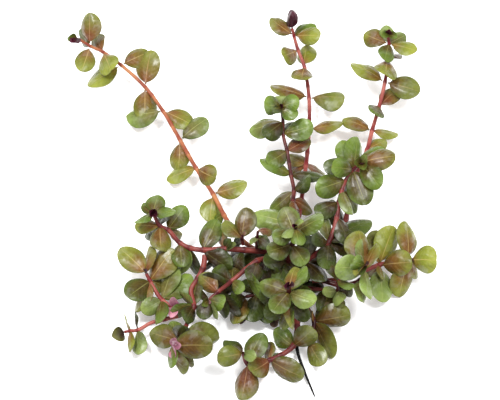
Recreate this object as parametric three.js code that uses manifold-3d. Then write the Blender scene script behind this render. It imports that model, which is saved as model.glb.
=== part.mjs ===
// A dwarf rotala, picked and lying on a flat surface: a low mound of creeping shoots that
// spread from one rootstock, with leaves in opposite pairs.
//
// The shoots are placed as they show in a picture of the plant. A place is written as
// [across, up, height]: millimetres to the right and up in the picture plane, and the height
// above the surface. The picture looks down on the plant from VIEW_ELEVATION degrees, so those
// three values give one point in space.
import * as THREE from "three";
import { mergeVertices } from "three/addons/utils/BufferGeometryUtils.js";
import Module from "manifold-3d";

// Driving dimensions, in millimetres and degrees
const VIEW_ELEVATION = 60;
const VIEW_DISTANCE = 1400;
const LEAF_LENGTH = 15;
const LEAF_WIDTH_SHARE = 0.68;
const LEAF_THICKNESS = 0.9;
const LEAF_BEND = 0.1;
const BEND_BACK = 0.8;
const OUTLINE_SKEW = 1.08;
const OUTLINE_POWER = 0.5;
const PETIOLE_SHARE = 0.06;
const PETIOLE_RADIUS = 0.45;
const STEM_SIDES = 5;
const GAP = 0.3;
const SLIVER = 0.15;
const FLOOR_SKIN = 0.4;
const TIP_HEIGHT = 1.2;
const CROWN_PLACE = [17.5, -37.5, 0];
const CROWN_RADIUS = 13;
const CROWN_HEIGHT = 19;
const CROWN_LEVELS = [0, 0.3, 0.6, 0.85];
const CROWN_ROUNDING = 0.9;
const CROWN_SIDES = 14;
const CROWN_LUMPS = 0.09;
const CROWN_DENTS = 0.06;
const STEPS_PER_POINT = 1.1;
const TIP_CAP = 0.6;
const POINT_SKIN = 0.1;
const MERGE_DISTANCE = 1e-4;
const ROUGHNESS = { root: 0.9, oldRoot: 0.6, stem: 0.5, leaf: 0.45 };

// How far along a blade its sections stand, for a grown leaf, a fused one, and a small one or
// one of the dark leaves deep in the mound
const GROWN_SECTIONS = [0.09, 0.24, 0.5, 0.78, 0.94];
const FUSED_SECTIONS = [0.12, 0.36, 0.8];
const SMALL_SECTIONS = [0.3, 0.75];
const SMALL_LENGTH = 16;

const COLOURS = {
  olive: 0x7f8a3c,
  green: 0x66853f,
  dark: 0x3c4a2c,
  grey: 0x6d7d5c,
  light: 0xa3b46c,
  copper: 0x8f6238,
  purple: 0x4a3040,
  pink: 0xc08a96,
  stem: 0xb4605a,
  redStem: 0x96403c,
  darkStem: 0x7a3330,
  root: 0x4a3a2c,
  oldRoot: 0x1d1b1a,
};

// Each shoot has a route, two stem radii, and its leaves. A leaf is
// [route point, across, up, seen width, depth, tone, length]: across and up lead from the stem
// to the leaf's tip in the picture, depth is 1 for a tip nearer the viewer and -1 for one
// further away, and length is left out where the leaf has the usual one. "grown" leaves are
// pieces of their own, and "fused" ones are one piece with their stem.
const SHOOTS = [
  {
    name: "long_shoot",
    route: [
      [6, -28, 16], [-6.5, -17.5, 14], [-13, -7.5, 12], [-18.5, 3, 10.5], [-27, 16, 10],
      [-35, 30, 10], [-43.5, 44.5, 11], [-52.5, 56.5, 13], [-64.5, 67.5, 16], [-73.5, 74, 19],
      [-80, 77, 22], [-86.5, 81, 26],
    ],
    radius: [1.15, 0.65],
    colour: "stem",
    grown: [
      [10, -0.5, 17, 10.5, -1, "olive"], [10, -4, -13, 10.5, 1, "olive"],
      [9, -4.5, 9, 7.5, -1, "copper", 13], [9, 4.5, -10, 11.5, 1, "olive"],
      [8, -17, -10.5, 11.5, 1, "olive", 20], [8, 14, 7, 9.5, -1, "olive", 16],
      [7, 3, 19, 13, -1, "copper", 19.5], [7, 0, -17, 12, 1, "olive", 17.5],
      [6, -19, -2.5, 10, -1, "olive", 19.5], [6, 15, -7, 11, 1, "olive", 17],
      [5, 13.5, 11, 10, -1, "olive", 17.5], [5, -1, -15, 10.5, 1, "olive", 15.5],
      [4, 10, -5, 11, 1, "olive"], [3, 17, 5.5, 11, 1, "olive", 18],
      [3, -1.5, -14, 11.5, 1, "olive"],
    ],
    fused: [
      [10, -6.5, 8, 6.5, -1, "green", 13], [4, -15, -5.5, 8, -1, "olive", 16.5],
      [2, -9, -5, 6, -1, "green", 13], [11, -4.5, -0.5, 4.5, 1, "green", 6.5],
      [11, -3, -2.5, 4.5, 1, "purple", 6], [11, 0.5, -3, 4, 1, "purple", 5],
    ],
  },
  {
    name: "top_shoot",
    route: [
      [20, -27.5, 17], [24.5, -7.5, 12], [28, 17.5, 10], [29, 27.5, 10], [29.5, 35, 10.5],
      [29.5, 51, 12], [27.2, 66.5, 15.5], [24, 75, 19], [22, 82, 23], [21, 86, 27],
    ],
    radius: [1.1, 0.7],
    colour: "stem",
    grown: [
      [8, -12, 9.2, 9.5, -1, "olive"], [8, 13, -0.5, 10, 1, "olive"],
      [7, -7.5, -3.5, 9, 1, "olive", 14], [6, 1.5, 12, 9, -1, "olive"],
      [6, -1.5, -7, 11, 1, "olive", 14], [5, -19.5, 6.8, 9.5, 1, "olive", 20.5],
      [5, 18, 0.3, 6.5, 1, "olive", 18.5], [4, 17, 4, 8, 1, "olive", 17.5],
    ],
    fused: [
      [8, 11, 6.5, 8, -1, "green", 14], [9, -1, 9.5, 6.5, -1, "purple", 11],
      [9, 0.5, 8, 5, 1, "purple", 9], [2, -9, 5.5, 8, -1, "copper", 13],
      [2, -8.5, -1, 7, -1, "copper", 12], [2, 9.5, -4, 6, -1, "copper", 12],
    ],
  },
  {
    name: "high_right_shoot",
    route: [
      [27, -31, 14], [45, -18, 11], [51, 8, 11], [58.5, 25, 12], [61, 34.5, 12],
      [64.5, 46.5, 13], [67.5, 59, 16], [69, 70.5, 20.5], [69.5, 78, 25], [69, 83, 29],
    ],
    radius: [1.2, 0.7],
    colour: "stem",
    grown: [
      [8, -12.5, 5.5, 9.5, -1, "olive"], [8, 14, -3.5, 8.5, 1, "olive"],
      [7, -1.5, -8.5, 12.5, 1, "olive"], [6, -17, 10, 10.5, -1, "olive", 20],
      [6, 17.5, -5, 12.5, 1, "olive", 18.5], [5, 9.5, 9, 8, -1, "copper"],
      [4, -14.5, 6.5, 8, -1, "olive", 16.5],
    ],
    fused: [
      [8, -2.5, -8.5, 9, 1, "green", 12], [8, 9, 5, 7.5, -1, "light", 12],
      [8, -1, 10, 6.5, -1, "green", 11], [9, 4.5, -2, 4, 1, "green", 6],
      [9, -3.5, -1, 4, 1, "green", 6], [9, 0.5, 2, 3.5, 1, "purple", 5],
      [7, 6, 3.5, 4, -1, "copper", 12], [5, -3, -3.5, 10, 1, "green", 14],
      [4, 13.5, -1, 6, -1, "olive", 15], [3, 10, 5, 7, -1, "olive", 12],
      [1, -2.5, 18, 9, -1, "dark", 20],
    ],
  },
  {
    name: "wide_leaf_shoot",
    route: [
      [31, -41, 10], [47.5, -39, 9], [64.5, -32.5, 11], [72, -31, 12.5], [79, -30, 15],
    ],
    radius: [1.2, 0.8],
    colour: "stem",
    grown: [
      [2, 7.5, 19, 12, -1, "olive", 20.5], [2, 15.5, 1.5, 13, 1, "olive", 18],
      [2, 1.5, -18, 12.5, 1, "light", 19], [4, -0.5, 19, 12, -1, "olive", 20],
      [4, 13.3, -0.2, 14, 1, "olive", 15.5], [4, -4, -18.5, 12, -1, "olive", 19.5],
    ],
    fused: [
      [2, -1, 17, 8, -1, "olive", 18], [2, 1.5, -7, 3.5, 1, "copper", 9],
      [4, 2, 1, 2.5, 1, "purple", 5],
    ],
  },
  {
    name: "centre_top_rosette",
    route: [[19, -31, 21], [21, -22.5, 31], [22, -16.5, 38], [22.5, -13.5, 43]],
    radius: [1.2, 0.8],
    colour: "darkStem",
    grown: [],
    fused: [
      [2, -5, 12.5, 11, -1, "light", 15], [2, 14, 8, 9.5, 1, "green", 17],
      [3, -5.5, -5, 5.5, 1, "grey", 9], [3, 4, 2.5, 3.5, 1, "light", 7],
      [3, 2, -8.5, 7.5, 1, "green", 11], [1, 6.5, -9, 9, 1, "green", 14],
      [2, -10.5, -2, 7, 1, "green", 12.5], [1, -12, -3, 7.5, 1, "green", 14.5],
      [3, 1, 1, 2.5, 1, "purple", 4], [3, -1.5, 0.5, 2.5, 1, "purple", 4],
      [0, -6, -10, 9, 1, "dark", 14], [0, -12, 1, 8, 1, "dark", 14],
      [0, 9, -9, 9, 1, "dark", 15], [0, 1, -13, 8, 1, "dark", 16],
    ],
  },
  {
    name: "centre_rosette",
    route: [[18, -42, 17], [19, -50, 22], [19.5, -50, 29], [19.5, -46, 36], [19.5, -43, 41]],
    radius: [1.3, 0.9],
    colour: "darkStem",
    grown: [],
    fused: [
      [3, -14, 4.5, 10, -1, "olive", 16], [3, 12.5, -4, 9.5, 1, "light", 15],
      [3, -8, -9, 9, 1, "light", 15], [3, 7.5, 12.5, 7, -1, "green", 16],
      [3, 3, 12, 7, -1, "olive", 15], [2, -3, -14, 5.5, 1, "green", 16],
      [2, 2, -13.5, 7, 1, "copper", 16], [4, -2.5, 0.5, 4, 1, "purple", 6],
      [1, -14, 3, 9, 1, "dark", 15], [1, -11, -8, 9, 1, "dark", 15],
      [1, 12, 3, 9, 1, "dark", 15], [1, 10, -9, 9, 1, "dark", 15],
      [4, 2, 0, 3.5, 1, "purple", 6],
    ],
  },
  {
    name: "right_rosette",
    route: [[30, -37.5, 14], [45, -42.5, 15], [55, -40, 21], [57, -35, 28], [57.5, -32.5, 33]],
    radius: [1.2, 0.8],
    colour: "darkStem",
    grown: [],
    fused: [
      [3, -14, 1.5, 13, 1, "light", 15], [3, 0, 15, 8.5, -1, "light", 16],
      [3, 6, 13, 6.5, -1, "olive", 15], [3, 3, -14, 7, 1, "light", 15], [3, -2, 19, 9, -1, "olive", 20],
      [2, 1, -10, 6, 1, "light", 13], [4, -6, 2, 8, 1, "green", 9],
      [4, -5, -5, 2.5, 1, "copper", 8], [4, -1.5, -5, 4, 1, "dark", 7],
      [4, 1.5, 0.5, 2.5, 1, "purple", 5],
    ],
  },
  {
    name: "dark_shoot",
    route: [
      [16.5, -28, 19], [20.5, -12.5, 18], [21.5, 0, 16], [22, 4.5, 16], [20.5, 12.5, 17],
      [18.5, 24.5, 19], [16.5, 33, 21.5], [16.5, 39, 25], [15.5, 46.5, 31],
    ],
    radius: [1.1, 0.7],
    colour: "darkStem",
    grown: [],
    fused: [
      [8, -8.5, 1, 10, 1, "green", 10], [8, 0, 5.5, 7, -1, "grey", 7],
      [8, 9, 3, 9, 1, "green", 10], [8, 7.5, -5.5, 8, 1, "green", 10],
      [8, -4, -3, 4.5, 1, "dark", 6],
      [7, -17, -3.9, 7.5, -1, "green", 18], [7, -9.5, -7, 9, 1, "dark", 14],
      [6, 15, 4.5, 9, 1, "olive", 16], [6, 8, 6.5, 6, -1, "dark", 13],
      [5, 11.5, 6.5, 9, -1, "copper", 14], [5, -10, -6, 9, 1, "dark", 14],
      [4, -15.5, 8, 8.5, 1, "dark", 17.5], [4, 17, -1.5, 7.5, 1, "dark", 17.5],
      [3, 8, 6.5, 8, 1, "dark", 13], [3, -12, -10, 8.5, -1, "dark", 16],
      [2, 3, -8, 4, 1, "copper", 12], [2, 10, -6, 8, -1, "copper", 13],
      [1, -19, 5.5, 12, -1, "olive", 20.5], [8, 1, 1, 2.5, 1, "purple", 4],
    ],
  },
  {
    name: "right_shoot",
    route: [
      [27.5, -31, 18], [39, -21.5, 23], [43.5, -8.5, 27], [44.5, -1, 29], [46, 5, 30.5],
      [48, 10, 32.5], [51.5, 15, 35], [55.5, 18.5, 39],
    ],
    radius: [1.2, 0.8],
    colour: "redStem",
    grown: [],
    fused: [
      [7, 2.5, 3.5, 5, 1, "light", 7], [7, 16.5, 3.5, 11, 1, "olive", 17.5],
      [7, 11, 8, 7.5, -1, "green", 14.5], [7, 9, -12, 11, 1, "green", 16],
      [6, -5, 15, 11, -1, "green", 17.5], [6, 2.5, 16.5, 10, -1, "green", 17.5],
      [6, -10.5, 1, 10, 1, "green", 14], [6, -14.5, 3, 7, -1, "dark", 15],
      [6, 6, -17, 13, 1, "green", 19], [7, -3.5, 0.5, 6, 1, "green", 7],
      [7, 1, -3.5, 5, 1, "green", 7], [5, 2, -6, 4, -1, "copper", 10],
      [5, -15, -5, 11.5, 1, "green", 17], [4, 5, -12, 6, 1, "light", 14],
      [4, 7.5, -11, 8, -1, "green", 14], [3, -12, -5, 7, 1, "dark", 14],
      [2, 6.5, -14, 10, 1, "dark", 16], [1, 13, -4, 7, -1, "dark", 14], [1, 21, 11.5, 9.5, -1, "dark", 24.5],
      [1, -1.5, -12.5, 10, 1, "dark", 15], [1, -1, 13, 5, -1, "light", 14],
      [1, -8, 4, 6, 1, "dark", 12], [7, 0, -0.5, 2.5, 1, "purple", 4],
      [0, 11, 3, 8, -1, "dark", 15], [0, -4, -10, 8, 1, "dark", 14],
      [0, 9, -9, 9, 1, "dark", 16], [0, 2, 13, 9, 1, "dark", 15],
    ],
  },
  {
    name: "left_shoot",
    route: [
      [9, -26, 19], [-2.5, -25, 21], [-12.5, -24.5, 21], [-23.5, -25, 19.5], [-30, -24, 19],
      [-35, -21.5, 19], [-41, -15, 19], [-45, -13, 21], [-48.5, -6.5, 26],
    ],
    radius: [1.4, 0.9],
    colour: "redStem",
    grown: [],
    fused: [
      [8, 2.5, 9, 10, -1, "dark", 10], [8, -5, 5, 6, -1, "green", 9],
      [8, -9, -4.5, 5, 1, "green", 11], [8, 11, 0.5, 6.5, 1, "green", 11.5],
      [7, -12.5, 0.5, 5.5, -1, "olive", 13], [7, 1, -12, 10.5, 1, "olive", 14],
      [6, 8.5, 12, 10, -1, "green", 15.5], [6, 7, -2, 6, -1, "copper", 12],
      [5, 1, -11.5, 9.5, 1, "green", 13], [4, -7, -12, 9, -1, "light", 15],
      [4, 2, -13, 8, -1, "dark", 16], [1, -8, -6, 8, -1, "dark", 14], [3, 6.5, 15, 11, -1, "green", 17],
      [3, 14, -9, 11, 1, "dark", 17.5], [2, -3, 11.5, 5, -1, "copper", 14],
      [2, 3, 5, 4, 1, "dark", 7], [2, 5.5, 2.5, 4, 1, "grey", 7],
      [0, -13, -5, 7, -1, "dark", 15], [8, -1.5, 1, 5, 1, "purple", 5], [8, 2, -1.5, 4, 1, "purple", 5],
    ],
  },
  {
    name: "pointed_shoot",
    route: [[-3.5, -22, 24], [-4, -19.5, 28], [-3.5, -17.5, 32]],
    radius: [0.9, 0.7],
    colour: "darkStem",
    grown: [],
    fused: [
      [1, 2, 15.5, 9.5, -1, "olive", 16], [1, -8.5, 9, 6, -1, "olive", 14],
      [2, 2, 2, 2.5, 1, "pink", 4],
    ],
  },
  {
    name: "small_dark_shoot",
    route: [[6.5, -25, 21.5], [3.5, -24, 24], [3.5, -19, 29], [4, -15.5, 33]],
    radius: [0.7, 0.6],
    colour: "darkStem",
    grown: [],
    fused: [
      [3, 7, 0.5, 4, -1, "copper", 9], [2, 5.5, -4, 6, 1, "dark", 9],
      [2, -3, -3, 3.5, 1, "grey", 6], [1, 3, 6, 4, 1, "grey", 8],
    ],
  },
  {
    name: "front_left_shoot",
    route: [
      [9.5, -29, 21], [3.5, -30.5, 25], [-2.5, -35, 24], [-9, -40.5, 22], [-16, -46, 18],
      [-20.5, -50, 17],
    ],
    radius: [1.3, 0.8],
    colour: "redStem",
    grown: [],
    fused: [
      [3, 1, 8.5, 9, -1, "green", 14], [3, 5, -5, 6, 1, "light", 10],
      [2, 8.5, -14.5, 6, 1, "green", 18], [2, -7, 5, 8, -1, "dark", 14],
      [5, 7.5, -1.5, 8.5, 1, "light", 10], [5, 4, -9, 3.5, 1, "grey", 11],
      [5, -3.5, -2.5, 4, 1, "green", 6], [5, -4, 4, 4, -1, "dark", 7],
      [4, 6, -6, 5, -1, "dark", 10], [5, 1, -1, 2, 1, "pink", 4],
      [5, -3, -9, 8, 1, "dark", 11], [1, -3, -9, 9, 1, "dark", 13], [4, -9.5, 8, 9, -1, "copper", 14],
      [4, 10, -13, 8, -1, "dark", 17], [4, 3, -13, 8, -1, "dark", 14],
      [3, -10, 4.5, 8, -1, "dark", 14], [4, 9, 2, 7, -1, "dark", 13],
    ],
  },
  {
    name: "bottom_left_shoot",
    route: [
      [-22.5, -27.5, 17.5], [-23.5, -34, 15.5], [-26, -39, 14], [-29.5, -45, 12.5],
      [-28, -53, 12], [-32, -63, 12.5], [-36, -70, 15], [-39, -73, 20],
    ],
    radius: [1.3, 0.9],
    colour: "redStem",
    grown: [],
    fused: [
      [2, 15, -4, 8, 1, "dark", 17], [4, -8, 6.5, 4.5, -1, "light", 11],
      [4, -4, -7, 8, 1, "dark", 12], [4, -12, -5, 8, 1, "green", 13], [2, -3, -13, 7, 1, "green", 14],
      [4, 8.5, -3.5, 4.5, -1, "olive", 11], [6, -14, 3.5, 12, -1, "olive", 16],
      [6, 20, 0.5, 13, -1, "olive", 22], [6, 3, 7, 9, 1, "dark", 13],
      [6, -3, 9, 8, -1, "green", 12],
      [7, 19.5, 0.5, 14, 1, "olive", 21], [7, 0, -10, 5, 1, "green", 12],
      [7, 5, -14, 7, -1, "olive", 16], [7, 9, -11, 7, -1, "olive", 16],
      [7, 4.5, 1, 5, 1, "pink", 7], [7, 2, 4, 4, 1, "pink", 6], [7, 2, -5, 3.5, 1, "pink", 8],
    ],
  },
  {
    name: "low_left_shoot",
    route: [[-30.5, -54.5, 11], [-38, -53.5, 10.5], [-44, -50, 11], [-50, -40.5, 13], [-52, -36.5, 16]],
    radius: [1.1, 0.8],
    colour: "stem",
    grown: [],
    fused: [
      [4, -13, 12, 12, -1, "olive", 18], [4, 1.5, 13, 5, -1, "copper", 14],
      [3, 11, 16, 11, -1, "olive", 19.5], [3, -10.5, -7.5, 12, 1, "green", 16],
      [3, 12.5, -4.5, 6, -1, "green", 15], [2, 14, 12.5, 10, -1, "green", 19],
      [3, -7, -15, 8, 1, "copper", 17], [2, 5, 17, 9, -1, "light", 19], [2, -10, -5, 9, 1, "grey", 12], [2, -2, -11, 7, 1, "green", 14],
      [4, 0.5, 2, 2, 1, "purple", 4], [1, 0, 5, 5, 1, "pink", 7], [1, -1.5, -5, 5, 1, "pink", 7],
    ],
  },
  {
    name: "side_shoot",
    route: [[-36, -58, 9], [-49.5, -61.5, 7.5], [-56, -65, 7], [-60, -65.5, 8], [-63, -66, 9.5]],
    radius: [1, 0.6],
    colour: "darkStem",
    grown: [],
    fused: [
      [4, -5.5, -2, 7.5, 1, "purple", 8], [3, -3, 8, 2.5, -1, "olive", 9],
      [2, -2, 8.5, 2, -1, "dark", 10], [3, 0, -10, 4, 1, "olive", 11],
      [2, 0.5, -11.5, 6, 1, "grey", 13],
    ],
  },
  {
    name: "small_right_shoot",
    route: [[29, -44, 12], [37.5, -45, 13], [43.5, -45.5, 15.5], [43.5, -40.5, 21]],
    radius: [1, 0.7],
    colour: "darkStem",
    grown: [],
    fused: [
      [3, 8.5, -2.5, 4.5, 1, "green", 10], [3, -2.5, 11.5, 6, -1, "green", 13],
      [2, -7, -0.5, 6, 1, "grey", 9], [2, 1.5, -5.5, 7, 1, "grey", 10], [2, 8, 1, 6, -1, "dark", 12],
      [1, -11, 3, 7, -1, "dark", 13], [1, -3, -10, 6, 1, "dark", 12],
    ],
  },
  {
    name: "low_right_shoot",
    route: [[23, -46, 10], [27.5, -52.5, 9], [32, -60.5, 8.5], [29.5, -71, 7.5]],
    radius: [1.2, 0.9],
    colour: "darkStem",
    grown: [],
    fused: [
      [2, 15.5, 9, 11, -1, "olive", 18.5], [2, 17.5, 3, 11, 1, "olive", 18.5],
      [2, 8.5, -18, 10, 1, "olive", 20.5], [3, 6.5, -10.5, 9, 1, "olive", 15],
      [2, -1, 5, 2, 1, "copper", 7],
    ],
  },
  {
    name: "front_shoot",
    route: [
      [20, -48, 9], [23.5, -61, 7], [21.5, -73, 7], [10, -80, 6.5], [-1, -82, 7],
      [-3.5, -76.5, 14],
    ],
    radius: [1.4, 0.9],
    colour: "redStem",
    grown: [],
    fused: [
      [2, 9.5, 9, 11, 1, "olive", 16], [2, -9.5, 7.5, 10, -1, "green", 14],
      [3, 16, -8, 12, 1, "copper", 18.5],
      [3, -9, -5, 11, 1, "copper", 14], [3, 5, 3, 5, -1, "grey", 9],
      [4, -3.2, -17, 11, 1, "copper", 18], [5, -12.2, -2, 10.5, 1, "olive", 13.5],
      [5, -9, 6, 7, -1, "dark", 12], [4, 7, 15, 10, -1, "green", 17],
      [5, 6, -2, 6, 1, "grey", 9], [5, 0.5, 0.5, 2.5, 1, "purple", 4],
    ],
  },
  {
    name: "under_shoot",
    route: [[10, -42.5, 12], [4, -46.5, 9], [-2.5, -48.5, 7.5]],
    radius: [1.1, 0.8],
    colour: "darkStem",
    grown: [],
    fused: [
      [1, -4, -13.5, 10.5, 1, "dark", 16], [1, 5.5, -14.5, 8.5, 1, "dark", 16.5],
      [2, -5, -1.5, 9, 1, "dark", 12], [2, -5, -12.5, 9.5, 1, "olive", 15.5],
      [0, 1, 10, 9, 1, "dark", 14], [0, -8, 6, 9, 1, "dark", 13], [0, 9, -11, 8, 1, "dark", 15],
      [1, -9, 5, 8, 1, "dark", 13],
    ],
  },
];

// The old root in front is bare and dark, and two short root ends show under the leaves
const OLD_ROOT = {
  name: "old_root",
  route: [[25.5, -57, 6.5], [23, -66, 4.5], [23.8, -76, 3.2], [27.3, -86, 1.8], [31, -95, 0.9], [32.5, -98.5, 0.6]],
  radius: [1.1, 0.3],
};
const ROOT_ENDS = [
  { route: [[16, -46, 4.5], [13, -58, 3.2], [11.5, -63.5, 2.4]], radius: [2.4, 1.8] },
  { route: [[8, -44, 4], [0, -56, 2.5], [-5, -62, 1.4]], radius: [1.5, 0.8] },
];

const RADIANS = Math.PI / 180;
const RIGHT = new THREE.Vector3(1, 0, 0);
const UP = new THREE.Vector3(
  0,
  Math.sin(VIEW_ELEVATION * RADIANS),
  Math.cos(VIEW_ELEVATION * RADIANS),
);
const TO_VIEWER = new THREE.Vector3(
  0,
  -Math.cos(VIEW_ELEVATION * RADIANS),
  Math.sin(VIEW_ELEVATION * RADIANS),
);

const wasm = await Module();
wasm.setup();

// The point at a height above the surface that shows at a place in the picture
function place([across, up, height]) {
  const eye = TO_VIEWER.clone().multiplyScalar(VIEW_DISTANCE);
  const seen = RIGHT.clone().multiplyScalar(across).addScaledVector(UP, up);
  const share = (height - eye.z) / (seen.z - eye.z);
  return eye.lerp(seen, share);
}

// A closed body through rings of points, with a point at each end
function loft(start, rings, end) {
  const count = rings[0].length;
  const points = [start, ...rings.flat(), end];
  const last = points.length - 1;
  const lastRing = 1 + (rings.length - 1) * count;
  const index = [];
  for (let side = 0; side < count; side += 1) {
    const next = (side + 1) % count;
    index.push(0, 1 + next, 1 + side);
    for (let near = 1; near < lastRing; near += count) {
      const far = near + count;
      index.push(near + side, near + next, far + side);
      index.push(near + next, far + next, far + side);
    }
    index.push(lastRing + side, lastRing + next, last);
  }
  const geometry = new THREE.BufferGeometry().setFromPoints(points);
  geometry.setIndex(index);
  return geometry;
}

function solidOf(geometry) {
  const merged = mergeVertices(geometry, MERGE_DISTANCE);
  return new wasm.Manifold(new wasm.Mesh({
    numProp: 3,
    vertProperties: new Float32Array(merged.attributes.position.array),
    triVerts: new Uint32Array(merged.index.array),
  }));
}

function geometryOf(solid) {
  const mesh = solid.getMesh();
  const geometry = new THREE.BufferGeometry();
  geometry.setAttribute("position", new THREE.BufferAttribute(mesh.vertProperties, 3));
  geometry.setIndex(new THREE.BufferAttribute(mesh.triVerts, 1));
  geometry.computeVertexNormals();
  return geometry;
}

// Nothing reaches below the surface, and what is pressed on it keeps a skin's thickness
function aboveFloor(point, skin) {
  point.z = Math.max(point.z, skin);
  return point;
}

// A round stem or root along a route, thinner towards its end
function stemSolid(route, [startRadius, endRadius], grow) {
  const curve = new THREE.CatmullRomCurve3(route.map(place), false, "centripetal");
  const steps = Math.max(3, Math.round(route.length * STEPS_PER_POINT));
  const frames = curve.computeFrenetFrames(steps, false);
  const rings = [];
  for (let step = 0; step <= steps; step += 1) {
    const centre = curve.getPointAt(step / steps);
    const radius = THREE.MathUtils.lerp(startRadius, endRadius, step / steps) + grow;
    const ring = [];
    for (let side = 0; side < STEM_SIDES; side += 1) {
      const turn = (side / STEM_SIDES) * 2 * Math.PI;
      const point = centre.clone();
      point.addScaledVector(frames.normals[step], Math.cos(turn) * radius);
      point.addScaledVector(frames.binormals[step], Math.sin(turn) * radius);
      ring.push(aboveFloor(point, 0));
    }
    rings.push(ring);
  }
  const start = curve.getPointAt(0).addScaledVector(frames.tangents[0], -grow);
  const cap = endRadius * TIP_CAP + grow;
  const end = curve.getPointAt(1).addScaledVector(frames.tangents[steps], cap);
  return solidOf(loft(start, rings, end));
}

// Half the width of a leaf, as a share of the widest place, at a share of its length
function outline(along) {
  const blade = THREE.MathUtils.clamp((along - PETIOLE_SHARE) / (1 - PETIOLE_SHARE), 0, 1);
  return Math.max(0, Math.sin(Math.PI * blade ** OUTLINE_SKEW)) ** OUTLINE_POWER;
}

// Where a leaf starts, which way it points and which way its upper face looks. A leaf that
// would reach into the surface is lifted towards the viewer, and its tip lies on the surface.
function leafFrame(shoot, leaf) {
  const [node, across, up, seenWidth, depth, , length = LEAF_LENGTH] = leaf;
  const points = shoot.route.map(place);
  const base = points[node];
  const before = points[Math.max(0, node - 1)];
  const after = points[Math.min(points.length - 1, node + 1)];
  const apex = after.clone().sub(before).normalize();
  const seen = Math.hypot(across, up);
  const free = Math.sqrt(Math.max(0, length ** 2 - seen ** 2)) * depth;
  const lowest = (TIP_HEIGHT - base.z - up * UP.z) / TO_VIEWER.z;
  const deep = Math.max(free, lowest);
  const grownLength = Math.hypot(seen, deep);
  const axis = RIGHT.clone().multiplyScalar(across);
  axis.addScaledVector(UP, up).addScaledVector(TO_VIEWER, deep).normalize();
  const facing = TO_VIEWER.clone().addScaledVector(axis, -axis.dot(TO_VIEWER)).normalize();
  const edgeways = new THREE.Vector3().crossVectors(axis, facing).normalize();
  if (edgeways.dot(apex) < 0) {
    edgeways.negate();
  }
  const width = Math.max(LEAF_WIDTH_SHARE * grownLength, seenWidth);
  const share = Math.min(1, seenWidth / width);
  const normal = facing.multiplyScalar(share).addScaledVector(edgeways, Math.sqrt(1 - share ** 2));
  const side = new THREE.Vector3().crossVectors(normal, axis).normalize();
  return { base, axis, side, normal, length: grownLength, width };
}

// A leaf is flat below and ridged above along its midrib, and arches over towards its tip
function leafSolid(shoot, leaf, { offset, sections, grow }) {
  const { base, axis, side, normal, length, width } = leafFrame(shoot, leaf);
  const point = (along, acrossShare, lift, skin) => {
    const half = Math.max((outline(along) * width) / 2, PETIOLE_RADIUS) + grow;
    const drop = LEAF_BEND * length * along * (along - BEND_BACK);
    const result = base.clone();
    result.addScaledVector(axis, offset + along * (length - offset));
    result.addScaledVector(side, acrossShare * half);
    result.addScaledVector(normal, lift - drop);
    return aboveFloor(result, skin);
  };
  const rings = sections.map((along) => {
    const ring = [
      point(along, 1, 0, 0),
      point(along, 0, LEAF_THICKNESS + grow, FLOOR_SKIN),
      point(along, -1, 0, 0),
    ];
    if (grow > 0) {
      ring.push(point(along, 0, -grow, -grow));
    }
    return ring;
  });
  const reach = grow / length;
  const middle = LEAF_THICKNESS / 4;
  const start = point(-reach, 0, middle, POINT_SKIN);
  const tip = point(1 + reach, 0, middle, POINT_SKIN);
  return solidOf(loft(start, rings, tip));
}

// The rootstock is a lumpy dome, cut flat underneath, and larger all round by grow
function crownSolid(grow) {
  const centre = place(CROWN_PLACE);
  const rings = CROWN_LEVELS.map((share) => {
    const ring = [];
    for (let side = 0; side < CROWN_SIDES; side += 1) {
      const turn = (side / CROWN_SIDES) * 2 * Math.PI;
      const lumps = CROWN_LUMPS * Math.sin(3 * turn + 5 * share);
      const lump = 1 + lumps + CROWN_DENTS * Math.cos(5 * turn);
      const radius = CROWN_RADIUS * Math.sqrt(1 - share ** 2 * CROWN_ROUNDING) * lump + grow;
      const x = centre.x + radius * Math.cos(turn);
      const y = centre.y + radius * Math.sin(turn);
      ring.push(new THREE.Vector3(x, y, share * (CROWN_HEIGHT + grow)));
    }
    return ring;
  });
  const top = centre.clone().setZ(CROWN_HEIGHT + grow);
  return solidOf(loft(centre, rings, top));
}

// What is already placed, as slightly larger bodies that later pieces keep out of
const taken = [];

function touches(a, b) {
  const first = a.boundingBox();
  const second = b.boundingBox();
  return [0, 1, 2].every((axis) => first.min[axis] < second.max[axis] && second.min[axis] < first.max[axis]);
}

function keepClear(solid, owner) {
  let result = solid;
  for (const other of taken) {
    if (other.owner !== owner && touches(result, other.solid)) {
      result = result.subtract(other.solid);
    }
  }
  return result;
}

// The largest of the bodies that a cut has left. Facets finer than SLIVER are merged, and
// asOriginal lets that reach across the seams between leaves that were joined.
function mainBody(solid) {
  const bodies = solid.asOriginal().simplify(SLIVER).decompose();
  bodies.sort((a, b) => b.volume() - a.volume());
  return bodies[0];
}

function meshOf(name, solid, colour, roughness) {
  const material = new THREE.MeshStandardMaterial({ color: COLOURS[colour], roughness, metalness: 0 });
  const mesh = new THREE.Mesh(geometryOf(solid), material);
  mesh.name = name;
  return mesh;
}

const plant = new THREE.Group();
plant.name = "dwarf_rotala";

function addPiece(name, solid, grown, colour, roughness, owner) {
  plant.add(meshOf(name, mainBody(keepClear(solid, owner)), colour, roughness));
  taken.push({ owner, solid: grown });
}

let crown = crownSolid(0);
let crownGrown = crownSolid(GAP);
for (const rootEnd of ROOT_ENDS) {
  crown = crown.add(stemSolid(rootEnd.route, rootEnd.radius, 0));
  crownGrown = crownGrown.add(stemSolid(rootEnd.route, rootEnd.radius, GAP));
}
addPiece("crown", crown, crownGrown, "root", ROUGHNESS.root, "crown");
addPiece(
  OLD_ROOT.name,
  stemSolid(OLD_ROOT.route, OLD_ROOT.radius, 0),
  stemSolid(OLD_ROOT.route, OLD_ROOT.radius, GAP),
  "oldRoot",
  ROUGHNESS.oldRoot,
  OLD_ROOT.name,
);

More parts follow.
